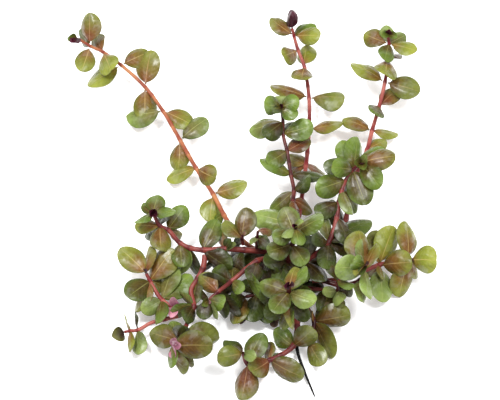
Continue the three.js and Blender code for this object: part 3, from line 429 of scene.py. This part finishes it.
# %% Leaf materials
# Colours of blade, tip, flush and rib, then how strong flush and rib are
TONES = {
    OLIVE: ("#535822", "#676b30", "#654226", "#a8925c", 0.85, 0.5),
    # A darker olive, painted shade for olive leaves that lie in shade
    SHADED_OLIVE: ("#444a1e", "#565a2a", "#54361f", "#948250", 0.8, 0.45),
    GREEN: ("#3a481b", "#51602a", "#4c321a", "#8c8c4e", 0.65, 0.4),
    # Partly the inner leaves' own deep green, partly painted shade deep in the clump
    DARK: ("#262d12", "#37411b", "#341f10", "#666438", 0.75, 0.4),
    GREY: ("#525e34", "#6a7542", "#4e4526", "#8d9466", 0.4, 0.35),
    # Partly young leaves' pale green, partly a painted highlight on leaves that catch the light
    LIGHT: ("#526030", "#66733f", "#5c4428", "#a0a068", 0.55, 0.4),
    COPPER: ("#504622", "#5a5c2c", "#5c3725", "#a07c58", 1.0, 0.5),
    PURPLE: ("#33121c", "#441c28", "#240c12", "#5b2e38", 0.6, 0.3),
    BUD: ("#3c3a18", "#4e4c22", "#1e0c0f", "#4a3424", 1.0, 0.25),
    PINK: ("#9e6a78", "#ad7e8a", "#8a5269", "#bb929b", 0.5, 0.4),
}
TONE_ROUGHNESS = {PURPLE: 0.04, LIGHT: -0.06}
LOWER_ROUGHNESS, LOWER_RIB = 0.12, 0.7
LOWER_TINT, LOWER_TINT_SHARE = "#855a30", 0.45
LOWER_TINTS = {DARK: "#40301e", PURPLE: "#40301e"}
UPPER_COAT, LOWER_COAT, LEAST_COAT = 0.9, 0.1, 0.08


def principled(name):
    material = bpy.data.materials.new(name)
    material.use_nodes = True
    return material, material.node_tree, material.node_tree.nodes["Principled BSDF"]


def leaf_material(tone, lower):
    *colours, flush_amount, rib_amount = TONES[tone]
    material, tree, shader = principled(f"{tone}_leaf_underside" if lower else f"{tone}_leaf")
    inputs = dict(zip(("Blade", "Tip", "Flush", "Rib"), map(linear, colours)))
    inputs["Flush Amount"] = flush_amount
    inputs["Rib Amount"] = rib_amount * (LOWER_RIB if lower else 1)
    pattern = add_node(tree, "ShaderNodeGroup", inputs, node_tree=leaf_pattern).outputs
    skin = pattern["Color"]
    if lower:
        tint = linear(LOWER_TINTS.get(tone, LOWER_TINT))
        skin = mixed(tree, LOWER_TINT_SHARE, skin, tint)
    rougher = LOWER_ROUGHNESS if lower else TONE_ROUGHNESS.get(tone, 0.0)
    coat = LOWER_COAT if lower else UPPER_COAT
    feed(tree, shader, {
        "Base Color": skin,
        "Roughness": compute(tree, "ADD", pattern["Shine"], rougher),
        "Subsurface Weight": 0.12,
        "Subsurface Radius": (0.0012, 0.0016, 0.0004),
        "Specular IOR Level": 0.08,
        "Coat Weight": compute(tree, "MULTIPLY_ADD", pattern["Gloss"], coat, LEAST_COAT),
        "Coat Roughness": 0.36,
        "Normal": bump(tree, pattern["Relief"], strength=0.75, distance=0.0005),
    })
    return material


LEAF_MATERIALS = {tone: (leaf_material(tone, False), leaf_material(tone, True)) for tone in TONES}
print(len(LEAF_MATERIALS) * 2, "leaf materials")

# %% [markdown]
# ## Stem and root materials
# A stem is paler between its nodes and redder just past each one, and reddest near a growing
# tip. The mesh carries that as an attribute, "redness", because the nodes lie at other places
# on each stem. The tissue's patches shift it a little, so the two colours mottle. The
# rootstock is brown and fibrous, and the old root black.

# %% Stem and root materials
STEM_MOTTLING, STEM_MOTTLING_START = 0.9, -0.45
STEM_ROUGHNESS, LEAST_STEM_ROUGHNESS = 0.25, 0.24
ROOT_PATCHES = (0.35, 0.7)


def stem_material(name, pale, red):
    material, tree, shader = principled(name)
    redness = add_node(tree, "ShaderNodeAttribute", {}, attribute_name="redness").outputs["Fac"]
    patches, cells = tissue_at(tree, "stem")
    mottling = compute(tree, "MULTIPLY_ADD", patches, STEM_MOTTLING, STEM_MOTTLING_START)
    share = compute(tree, "ADD", redness, mottling, clamp=True)
    feed(tree, shader, {
        "Base Color": mixed(tree, share, linear(pale), linear(red)),
        "Roughness": compute(tree, "MULTIPLY_ADD", patches, STEM_ROUGHNESS, LEAST_STEM_ROUGHNESS),
        "Specular IOR Level": 0.2,
        "Subsurface Weight": 0.15,
        "Subsurface Radius": (0.0015, 0.0005, 0.0004),
        "Normal": bump(tree, cells, strength=0.3, distance=0.0001),
    })
    return material


def root_material(name, dark, pale, roughness, reflection):
    material, tree, shader = principled(name)
    patches, cells = tissue_at(tree, "root")
    feed(tree, shader, {
        "Base Color": mixed(tree, ramp(tree, patches, *ROOT_PATCHES), linear(dark), linear(pale)),
        "Roughness": roughness,
        "Specular IOR Level": reflection,
        "Normal": bump(tree, cells, strength=0.7, distance=0.0004),
    })
    return material


STEM_COLOURS = {
    "coral": ("#915046", "#611a1c"), "tan": ("#9c6640", "#723022"),
    "red": ("#70312a", "#431014"), "maroon": ("#57241f", "#2b090c"),
}
STEM_MATERIALS = {name: stem_material(name + "_stem", *pair) for name, pair in STEM_COLOURS.items()}
crown_material = root_material("fibrous_rootstock", "#2a1d15", "#4e3828", 0.85, 0.3)
old_root_material = root_material("old_root_skin", "#060505", "#100e0d", 0.55, 0.1)
print(len(STEM_MATERIALS), "stem materials and two root materials")


# %% [markdown]
# ## Where a leaf stands
# A leaf leaves its node along one axis and shows its upper face to the light. The width that
# the picture shows tells how far the blade is turned: a leaf that shows its full width faces
# the viewer, and one that shows half of it is tilted towards the shoot's tip. A leaf that would
# reach into the table is lifted until its tip lies on it.

# %% Where a leaf stands
LEAF_LENGTH = 15
LEAF_WIDTH_SHARE = 0.68
TIP_HEIGHT = 1.2
GAP = 0.3


def leaf_frame(shoot, leaf):
    node, across_seen, up_seen, signed_width, _, *given_length = leaf
    seen_width = abs(signed_width)
    length = given_length[0] if given_length else LEAF_LENGTH
    points = [place(point) for point in shoot.route]
    base = points[node]
    apex = points[min(len(points) - 1, node + 1)] - points[max(0, node - 1)]
    seen = math.hypot(across_seen, up_seen)
    free = math.copysign(math.sqrt(max(0, length ** 2 - seen ** 2)), signed_width)
    lowest = (TIP_HEIGHT - base.z - up_seen * UP.z) / TO_VIEWER.z
    deep = max(free, lowest)
    length = math.hypot(seen, deep)
    axis = (RIGHT * across_seen + UP * up_seen + TO_VIEWER * deep).normalized()
    facing = (TO_VIEWER - axis * axis.dot(TO_VIEWER)).normalized()
    edgeways = axis.cross(facing).normalized()
    if edgeways.dot(apex) < 0:
        edgeways.negate()
    width = max(LEAF_WIDTH_SHARE * length, seen_width)
    share = min(1, seen_width / width)
    normal = facing * share + edgeways * math.sqrt(1 - share ** 2)
    side = normal.cross(axis).normalized()
    return base, axis, side, normal, length, width


# %% [markdown]
# ## The blade
# A blade is a closed, thin body: an upper and a lower sheet that meet along the edge. Its rows
# run across the leaf. The blade bends down towards its tip, its halves rise a little from the
# midrib and then curve down to the edge, and each leaf gets its own twist and ripple from a
# seeded random draw. Buds fold upwards instead, around the growing tip. Geometry Nodes would
# suit copies of one leaf; here each has its own width, turn, cup and ripple, so Python makes it.

# %% The blade
PETIOLE_SHARE = 0.06
PETIOLE_RADIUS, PETIOLE_TAPER, TIP_CLOSING = 0.45, 0.4, 12
OUTLINE_SKEW, OUTLINE_POWER = 1.08, 0.5
BLADE_THICKNESS, BUD_THINNING = 0.34, 0.7
BUD_LENGTH, BUD_CUP, BUD_RIPPLE = 8, -0.5, 0.4
# Ranges of the random draws
TWIST, BEND, SWAY = (-0.3, 0.3), (0.6, 1.7), (-0.06, 0.06)
CUP, RIPPLE, SHADE = (0.1, 0.45), (0.15, 0.42), (-1, 1)
FULL_TURN = 6.28
LEAF_BEND, BEND_BACK, CUP_POWER = 0.1, 0.8, 2.2
HALF_RISE, RISE_FADE, RISE_REACH = 0.14, 0.8, 1.4
RIPPLE_TURNS, RIPPLE_OFFSET, RIPPLE_POWER = 9, 2, 3
GROOVE_DEPTH, GROOVE_WIDTH = 0.16, 0.1
KEEL_DEPTH, KEEL_WIDTH = 0.22, 0.12
END_THICKNESS = 0.15
TABLE_GAP = 0.05
EVEN_ROWS = 0.25


def bell(distance, width):
    return math.exp(-(distance / width) ** 2)


def blade_half_width(along, width):
    blade = min(1, max(0, (along - PETIOLE_SHARE) / (1 - PETIOLE_SHARE)))
    half = max(0, math.sin(math.pi * blade ** OUTLINE_SKEW)) ** OUTLINE_POWER * width / 2
    stalk = PETIOLE_RADIUS * (1 - PETIOLE_TAPER * along)
    return max(half, stalk * min(1, (1 - along) * TIP_CLOSING))


def leaf_mesh(shoot, leaf, offset, rows, columns):
    """Vertices, faces, UVs, the faces' side and the leaf's shade, partly painted light."""
    base, axis, side, normal, length, width = leaf_frame(shoot, leaf)
    bud = length <= BUD_LENGTH
    twist = rng.uniform(*TWIST)
    bend = LEAF_BEND * rng.uniform(*BEND)
    sway = rng.uniform(*SWAY)
    cup = BUD_CUP if bud else rng.uniform(*CUP)
    ripple = rng.uniform(*RIPPLE) * (BUD_RIPPLE if bud else 1)
    phase = rng.uniform(0, FULL_TURN)
    # The shoot's value adds to a random tone; its paler side is partly painted light
    shade = rng.uniform(*SHADE) + shoot.paler
    thick = BLADE_THICKNESS * (BUD_THINNING if bud else 1)

    def at(along, across, lift):
        half = blade_half_width(along, width)
        wide = abs(across)
        reach = math.sin(math.pi * min(1, wide * RISE_REACH))
        rise = HALF_RISE * (1 - RISE_FADE * along) * reach * half
        drop = bend * length * along * (along - BEND_BACK) + cup * half * wide ** CUP_POWER
        turns = along * RIPPLE_TURNS + phase + (RIPPLE_OFFSET if across > 0 else 0)
        wave = ripple * wide ** RIPPLE_POWER * math.sin(turns)
        groove = GROOVE_DEPTH * bell(wide, GROOVE_WIDTH) * (half / (width / 2 + 0.01))
        height = rise - drop + wave - groove + lift
        turn = twist * along * 2 * across * half
        point = base + axis * (offset + along * (length - offset))
        point += side * (across * half + sway * length * math.sin(math.pi * along) * 0.5)
        point += normal * (height + turn)
        point.z = max(point.z, TABLE_GAP + max(0, lift) * 0.5)
        return point

    verts, uvs, faces, lower = [], [], [], []
    for row in range(rows + 1):
        # The rows stand closer together at both ends
        along = 0.5 - 0.5 * math.cos(math.pi * row / rows)
        along = (1 - EVEN_ROWS) * along + EVEN_ROWS * row / rows
        edge_fade = END_THICKNESS if row in (0, rows) else 1
        for column in range(columns + 1):
            across = math.sin((column / columns * 2 - 1) * math.pi / 2)
            lens = math.sqrt(max(0, 1 - across ** 2)) * edge_fade
            keel = KEEL_DEPTH * bell(across, KEEL_WIDTH) * (1 - along)
            verts.append(at(along, across, thick / 2 * lens))
            verts.append(at(along, across, -(thick / 2 + keel) * lens))
            uvs += [(along, across / 2 + 0.5)] * 2
    count = (columns + 1) * 2

    def close(ring, flip):
        faces.append(tuple(reversed(ring)) if flip else ring)
        lower.append(True)

    for row in range(rows):
        for a in range(row * count, row * count + columns * 2, 2):
            b = a + 2
            c, d = b + count, a + count
            faces.append((a, d, c, b))
            lower.append(False)
            close((a + 1, b + 1, c + 1, d + 1), False)
        for a, flip in ((row * count, False), (row * count + columns * 2, True)):
            close((a, a + 1, a + 1 + count, a + count), flip)
    for row, flip in ((0, False), (rows, True)):
        for a in range(row * count, row * count + columns * 2, 2):
            close((a, a + 2, a + 3, a + 1), flip)
    return verts, faces, uvs, lower, shade


# %% [markdown]
# ## Leaves as mesh objects
# One function joins any number of leaves into one mesh object: a grown leaf alone, or all the
# leaves of a shoot. Doubles along the edge are merged, so that the body is closed.

# %% Leaves as mesh objects
LEAF_GRID, BUD_GRID = (18, 12), (10, 8)
MERGE_DISTANCE = 0.00001


def new_object(name, data):
    piece = bpy.data.objects.new(name, data)
    bpy.context.scene.collection.objects.link(piece)
    return piece


def new_mesh(name, verts, faces):
    mesh = bpy.data.meshes.new(name)
    mesh.from_pydata(verts, [], faces)
    mesh.polygons.foreach_set("use_smooth", [True] * len(mesh.polygons))
    mesh.update()
    return mesh


def made_mesh(piece):
    """The mesh that an object's modifiers make of it."""
    depsgraph = bpy.context.evaluated_depsgraph_get()
    return bpy.data.meshes.new_from_object(piece.evaluated_get(depsgraph))


def keep_made_mesh(piece):
    mesh = made_mesh(piece)
    piece.modifiers.clear()
    piece.data = mesh


def leaves_object(name, shoot, leaves, offset):
    verts, faces, uvs, slots, shades, materials = [], [], [], [], [], []
    for leaf in leaves:
        small = len(leaf) > 5 and leaf[5] <= BUD_LENGTH
        leaf_verts, leaf_faces, leaf_uvs, lower, shade = leaf_mesh(
            shoot, leaf, offset, *(BUD_GRID if small else LEAF_GRID))
        pair = LEAF_MATERIALS[leaf[4]]
        materials += [material for material in pair if material not in materials]
        faces += [tuple(len(verts) + corner for corner in face) for face in leaf_faces]
        verts += [point * MM for point in leaf_verts]
        uvs += leaf_uvs
        shades += [shade] * len(leaf_verts)
        slots += [materials.index(pair[low]) for low in lower]
    mesh = new_mesh(name, verts, faces)
    for material in materials:
        mesh.materials.append(material)
    mesh.polygons.foreach_set("material_index", slots)
    corners = np.empty(len(mesh.loops), dtype=np.int32)
    mesh.loops.foreach_get("vertex_index", corners)
    layer = mesh.uv_layers.new(name="leaf")
    layer.data.foreach_set("uv", np.array(uvs, dtype=np.float32)[corners].ravel())
    mesh.attributes.new("leaf_tone_and_light", "FLOAT", "POINT").data.foreach_set("value", shades)
    piece = new_object(name, mesh)
    piece.modifiers.new("merge", "WELD").merge_threshold = MERGE_DISTANCE
    keep_made_mesh(piece)
    return piece


# %% [markdown]
# ## Stems with Geometry Nodes
# A stem is a round tube along its route, thinner towards the tip, with a slight swelling at
# each node. That is a rule, so Geometry Nodes make it: a curve is resampled, each point gets
# its radius from an attribute, a circle is swept along it, and the ends are filled.

# %% The stem tree
def geometry_tree(name, inputs):
    inputs = [("Geometry", "Geometry", None), *inputs, ("Skin", "Material", None)]
    return new_group(name, inputs, [("Geometry", "Geometry")], "GeometryNodeTree")


def end_tree(tree, made, shape, material):
    """Ends a tree with Realize Instances and Set Material."""
    real = add_node(tree, "GeometryNodeRealizeInstances", {"Geometry": shape}).outputs[0]
    inputs = {"Geometry": real, "Material": material}
    feed(tree, made, {"Geometry": add_node(tree, "GeometryNodeSetMaterial", inputs).outputs[0]})


def stem_tree():
    tree, given, made = geometry_tree(
        "swept_stem", [("Step", "Float", 0.0006), ("Sides", "Int", 14)])
    resample = add_node(tree, "GeometryNodeResampleCurve",
                        {"Curve": given["Geometry"], "Length": given["Step"]}, mode="LENGTH")
    circle = add_node(tree, "GeometryNodeCurvePrimitiveCircle",
                      {"Radius": 1.0, "Resolution": given["Sides"]})
    radius = add_node(tree, "GeometryNodeInputRadius", {})
    sweep = add_node(tree, "GeometryNodeCurveToMesh", {
        "Curve": resample.outputs["Curve"], "Profile Curve": circle.outputs["Curve"],
        "Scale": radius.outputs["Radius"], "Fill Caps": True})
    smooth = add_node(tree, "GeometryNodeSetShadeSmooth", {"Geometry": sweep.outputs["Mesh"]})
    end_tree(tree, made, smooth.outputs["Geometry"], given["Skin"])
    return tree


STEM_TREE = stem_tree()


def grow(piece, tree, inputs):
    """Gives an object the tree as a modifier, with its named inputs."""
    modifier = piece.modifiers.new(tree.name, "NODES")
    modifier.node_group = tree
    sockets = {item.name: item.identifier for item in tree.interface.items_tree
               if item.in_out == "INPUT"}
    for label, value in inputs.items():
        modifier[sockets[label]] = value


# %% [markdown]
# The route's few points become one smooth curve, whose points carry the radius. The swept
# mesh then gets the "redness" that the stem material reads from the nearest point of the
# route: high just past a node, and rising to the tip.

# %% Smooth routes
def between(first, last, start, end, t):
    return first * ((end - t) / (end - start)) + last * ((t - start) / (end - start))


def smooth_route(points, samples):
    """Centripetal Catmull-Rom through the points, with each sample's place among them."""
    ends = [points[0] * 2 - points[1], *points, points[-1] * 2 - points[-2]]
    route, places = [], []
    for index in range(1, len(ends) - 2):
        p0, p1, p2, p3 = ends[index - 1:index + 3]
        t1 = (p1 - p0).length ** 0.5
        t2 = t1 + (p2 - p1).length ** 0.5
        t3 = t2 + (p3 - p2).length ** 0.5
        for sample in range(samples):
            t = t1 + (t2 - t1) * sample / samples
            a1 = between(p0, p1, 0, t1, t)
            a2 = between(p1, p2, t1, t2, t)
            a3 = between(p2, p3, t2, t3, t)
            b1 = between(a1, a2, 0, t2, t)
            b2 = between(a2, a3, t1, t3, t)
            route.append(between(b1, b2, t1, t2, t))
            places.append(index - 1 + sample / samples)
    return [*route, ends[-2]], [*places, len(points) - 1]


# %% [markdown]
# Where older leaves have dropped, a bare stem still shows its nodes, as a low ring every
# centimetre or so. They are found along the route's length, between the nodes that have leaves.

# %% Nodes along a stem
ROUTE_SAMPLES = 14
STEM_FULLNESS = 1.06
NODE_SWELLING, NODE_WIDTH = 0.24, 0.9
NODE_SPACING, BARE_MARGIN = 9.5, 0.55
BARE_START, BARE_END = 0.7, 0.5
TIP_POINTS, TIP_LEAST = 3, 0.35
NOWHERE = np.array([-99.0])
# Redness starts a little before a node, fades past it, and rises again towards the tip
RED_BEFORE, RED_FADE, RED_NODE = -0.06, 0.42, 0.85
RED_TIP_LENGTH, RED_TIP = 2.2, 0.6


def lengths_along(route):
    steps = [0.0]
    for before, after in zip(route, route[1:]):
        steps.append(steps[-1] + (after - before).length)
    return np.array(steps)


def bare_nodes(lengths, places, nodes):
    """Places of the rings that dropped leaves left, by the same share as the places."""
    leafy = np.interp(nodes, places, lengths)
    rings = np.arange(NODE_SPACING * BARE_START, lengths[-1] - NODE_SPACING * BARE_END, NODE_SPACING)
    return [float(np.interp(ring, lengths, places)) for ring in rings
            if abs(leafy - ring).min() > NODE_SPACING * BARE_MARGIN]


def stem_redness(mesh, route, places, nodes):
    positions = np.array([v.co for v in mesh.vertices])
    centres = np.array([point * MM for point in route])
    nearest = ((positions[:, None, :] - centres[None, :, :]) ** 2).sum(2).argmin(1)
    shares = np.array(places)[nearest]
    red = np.zeros(len(shares))
    for node in nodes:
        past = shares - node
        red += np.where(past > RED_BEFORE, np.exp(-(np.maximum(past, 0) / RED_FADE) ** 2), 0)
    from_tip = (shares - places[-1] + RED_TIP_LENGTH) / RED_TIP_LENGTH
    return np.clip(red, 0, 1) * RED_NODE + np.clip(from_tip, 0, 1) * RED_TIP


def stem_object(name, points, radii, material, nodes=()):
    points = [place(point) for point in points]
    route, places = smooth_route(points, ROUTE_SAMPLES)
    lengths = lengths_along(route)
    if nodes:
        nodes = [*nodes, *bare_nodes(lengths, places, nodes)]
    rings = np.interp(nodes, places, lengths) if nodes else NOWHERE
    curve = bpy.data.curves.new(name + "_route", "CURVE")
    curve.dimensions = "3D"
    spline = curve.splines.new("POLY")
    spline.points.add(len(route) - 1)
    for index, (point, share) in enumerate(zip(route, places)):
        swelling = 1 + NODE_SWELLING * bell(abs(rings - lengths[index]).min(), NODE_WIDTH)
        radius = (radii[0] + (radii[1] - radii[0]) * share / places[-1]) * swelling * STEM_FULLNESS
        closing = min(1, (len(route) - 1 - index) / TIP_POINTS + TIP_LEAST)
        spline.points[index].co = (*(point * MM), 1)
        spline.points[index].radius = radius * closing * MM
    maker = new_object(name, curve)
    grow(maker, STEM_TREE, {"Skin": material})
    mesh = made_mesh(maker)
    bpy.data.objects.remove(maker)
    redness = stem_redness(mesh, route, places, nodes).astype(np.float32)
    mesh.attributes.new("redness", "FLOAT", "POINT").data.foreach_set("value", redness)
    return new_object(name, mesh)


def hand_in(piece, node):
    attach(piece, "root")
    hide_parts(node)


# %% [markdown]
# ## Growing the shoots
# Every CAD stem is replaced by a swept stem and the leaves that are one piece with it, and
# every CAD leaf by a leaf of its own that starts just outside the stem.

# %% Growing the shoots
triangles = 0
for shoot in SHOOTS:
    nodes = sorted({leaf[0] for leaf in shoot.grown + shoot.fused})
    material = STEM_MATERIALS[shoot.colour]
    stem = stem_object(shoot.name + "_stem_skin", shoot.route, shoot.radii, material, nodes)
    hand_in(stem, shoot.name + "_stem")
    foliage = leaves_object(shoot.name + "_foliage", shoot, shoot.fused, 0)
    hand_in(foliage, shoot.name + "_stem")
    pieces = [stem, foliage]
    for number, leaf in enumerate(shoot.grown, 1):
        name = f"{shoot.name}_leaf_{number:02d}"
        blade = leaves_object(name + "_blade", shoot, [leaf], shoot.radii[0] + GAP)
        hand_in(blade, name)
        pieces.append(blade)
    triangles += sum(len(p.vertices) - 2 for piece in pieces for p in piece.data.polygons)
print("triangles in the shoots:", triangles)

# %% [markdown]
# In the thick of the plant a few small leaves stand low between the stems, where they close
# gaps that would show the table. The CAD model has no such leaves.

# %% Low leaves
for shoot in SHOOTS:
    if shoot.low:
        low_leaves = leaves_object(shoot.name + "_low_leaves", shoot, shoot.low, 0)
        hand_in(low_leaves, shoot.name + "_stem")
print("low leaves:", sum(len(shoot.low) for shoot in SHOOTS))

# %% [markdown]
# ## The rootstock and the roots
# The rootstock is a short woody lump under the shoots, with fine dead rootlets. It is a new
# dome of the CAD one's size, finer and with a rough skin, and Geometry Nodes scatter the
# rootlets on it from a fixed seed.

# %% The rootlet tree
ROOTLET_SIDES, ROOTLET_TIP, ROOTLET_FOOT = 5, 0.00008, 0.00028
ROOTLET_SCALES = (0.4, 1.0)
ROOTLETS = {"Density": 60000.0, "Length": 0.004, "Seed": 4}


def rootlet_tree():
    tree, given, made = geometry_tree("rootlets", [
        ("Density", "Float", 90000.0), ("Length", "Float", 0.006), ("Seed", "Int", 4)])
    scatter = add_node(tree, "GeometryNodeDistributePointsOnFaces", {
        "Mesh": given["Geometry"], "Density": given["Density"], "Seed": given["Seed"]}).outputs
    cone = add_node(tree, "GeometryNodeMeshCone", {
        "Vertices": ROOTLET_SIDES, "Radius Top": ROOTLET_TIP, "Radius Bottom": ROOTLET_FOOT,
        "Depth": given["Length"]})
    size = add_node(tree, "FunctionNodeRandomValue", dict(zip((2, 3), ROOTLET_SCALES)))
    rootlets = add_node(tree, "GeometryNodeInstanceOnPoints", {
        "Points": scatter["Points"], "Rotation": scatter["Rotation"],
        "Instance": cone.outputs["Mesh"], "Scale": size.outputs[1]})
    join = add_node(tree, "GeometryNodeJoinGeometry", {"Geometry": given["Geometry"]})
    feed(tree, join, {"Geometry": rootlets.outputs["Instances"]})
    end_tree(tree, made, join.outputs["Geometry"], given["Skin"])
    return tree


# %% [markdown]
# The dome is built ring by ring. Four waves that run around and up it make the skin rough.

# %% The rootstock
LUMP_RADIUS, LUMP_RISE, LUMP_TOP = 12.8, 19, 18.8
LUMP_RINGS, LUMP_SIDES = 14, 42
LAST_RING, SHOULDER = 0.93, 0.9
# Height, turns around, turn upwards and start of each wave
LUMP_WAVES = ((0.09, 3, 5, 0), (0.06, 5, 0, math.pi / 2), (0.03, 11, 9, 0), (0.02, -7, 23, 0))


def lump_mesh(name):
    """The rootstock's dome, finer than in the CAD model and with a rough skin."""
    centre = place(CROWN_PLACE)
    verts, faces = [centre * MM], []
    for ring in range(LUMP_RINGS):
        share = ring / (LUMP_RINGS - 1) * LAST_RING
        for number in range(LUMP_SIDES):
            turn = number / LUMP_SIDES * 2 * math.pi
            rough = 1 + sum(size * math.sin(around * turn + upwards * share + start)
                            for size, around, upwards, start in LUMP_WAVES)
            radius = LUMP_RADIUS * math.sqrt(1 - share ** 2 * SHOULDER) * rough
            offset = Vector((radius * math.cos(turn), radius * math.sin(turn), share * LUMP_RISE))
            verts.append((centre + offset) * MM)
    verts.append((centre + Vector((0, 0, LUMP_TOP))) * MM)
    top = len(verts) - 1
    last = top - LUMP_SIDES
    for number in range(LUMP_SIDES):
        following = (number + 1) % LUMP_SIDES
        faces.append((0, 1 + following, 1 + number))
        for near in range(1, last, LUMP_SIDES):
            far = near + LUMP_SIDES
            faces.append((near + number, near + following, far + following, far + number))
        faces.append((last + number, last + following, top))
    return new_mesh(name, verts, faces)


rootstock = new_object("rootstock", lump_mesh("rootstock"))
grow(rootstock, rootlet_tree(), {**ROOTLETS, "Skin": crown_material})
keep_made_mesh(rootstock)
for vertex in rootstock.data.vertices:
    vertex.co.z = max(vertex.co.z, 0)
hand_in(rootstock, "crown")
print("rootstock faces:", len(rootstock.data.polygons))

# %% [markdown]
# The two root ends and the old root in front are swept like the stems.

# %% The roots
ROOTS = (
    ("root_end_1", [(16, -46, 4.5), (13, -58, 3.2), (11.5, -63.5, 2.4)],
     (2.4, 1.8), crown_material, "crown", "crown_root"),
    ("root_end_2", [(8, -44, 4), (0, -56, 2.5), (-5, -62, 1.4)],
     (1.5, 0.8), crown_material, "crown", "crown_root"),
    ("old_root_skin", [(25.5, -57, 6.5), (23, -66, 4.5), (23.8, -76, 3.2), (27.3, -86, 1.8),
                       (31, -95, 0.9), (32.5, -98.5, 0.6)],
     (1.1, 0.3), old_root_material, "old_root", "dark_root"),
)
for name, route, radii, material, node, slot in ROOTS:
    hand_in(stem_object(name, route, radii, material), node)
print(len(ROOTS), "roots")

# %% [markdown]
# ## Stage, light and camera
# The plant lies on a plain white table in soft light from all around. One large lamp from the
# upper left gives the table a faint shadow, a weaker one opposite fills it, and two small ones
# high up on either side give the leaves their shine. The table glows a little, which is painted
# light that lifts the plant's shadow on it, and the Standard view transform is used, so that
# the table stays white as in the picture.

# %% The table
TABLE_HALF, TABLE_DEPTH = 3.0, -0.0003
corners = [(x, y, TABLE_DEPTH) for x in (-TABLE_HALF, TABLE_HALF) for y in (-TABLE_HALF, TABLE_HALF)]
table_mesh = bpy.data.meshes.new("table")
table_mesh.from_pydata(corners, [], [(0, 2, 3, 1)])
table_material, table_nodes, table_shader = principled("white_table")
# The emission is painted light: the table glows so that the plant's shadow on it stays faint
feed(table_nodes, table_shader, {
    "Base Color": (0.96, 0.965, 0.97, 1), "Roughness": 0.9,
    "Emission Color": (0.98, 0.99, 1, 1), "Emission Strength": 0.14})
table_mesh.materials.append(table_material)
new_object("table", table_mesh)

# %% Light
WORLD_STRENGTH = 0.98
# Place in metres, size and power of each lamp; all are aimed at the plant
LAMPS = {
    "key": ((-0.35, 0.45, 0.8), 1.1, 3), "fill": ((0.6, -0.3, 0.7), 0.7, 1.4),
    "gloss_left": ((-0.32, 0.02, 1.0), 0.2, 10), "gloss_right": ((0.36, -0.12, 0.95), 0.2, 5.5),
}
world = bpy.data.worlds.new("studio")
world.use_nodes = True
feed(world.node_tree, world.node_tree.nodes["Background"],
     {"Color": (1, 1, 1, 1), "Strength": WORLD_STRENGTH})
bpy.context.scene.world = world
bpy.context.scene.view_settings.view_transform = "Standard"


def aim(piece, direction):
    piece.rotation_euler = direction.to_track_quat("-Z", "Y").to_euler()


for name, (position, size, power) in LAMPS.items():
    lamp = bpy.data.lights.new(name, "AREA")
    lamp.size = size
    lamp.energy = power
    lamp_object = new_object(name, lamp)
    lamp_object.location = position
    aim(lamp_object, -Vector(position))
print(len(LAMPS), "lamps")

# %% The camera
FRAME_WIDTH, SENSOR_WIDTH = 250, 36
camera_data = bpy.data.cameras.new("camera")
camera_data.sensor_width = SENSOR_WIDTH
camera_data.lens = SENSOR_WIDTH * VIEW_DISTANCE / FRAME_WIDTH
camera = new_object("camera", camera_data)
camera.location = (TO_VIEWER * VIEW_DISTANCE + SHIFT) * MM
aim(camera, -TO_VIEWER)
bpy.context.scene.camera = camera
print("camera lens in mm:", round(camera_data.lens, 1))
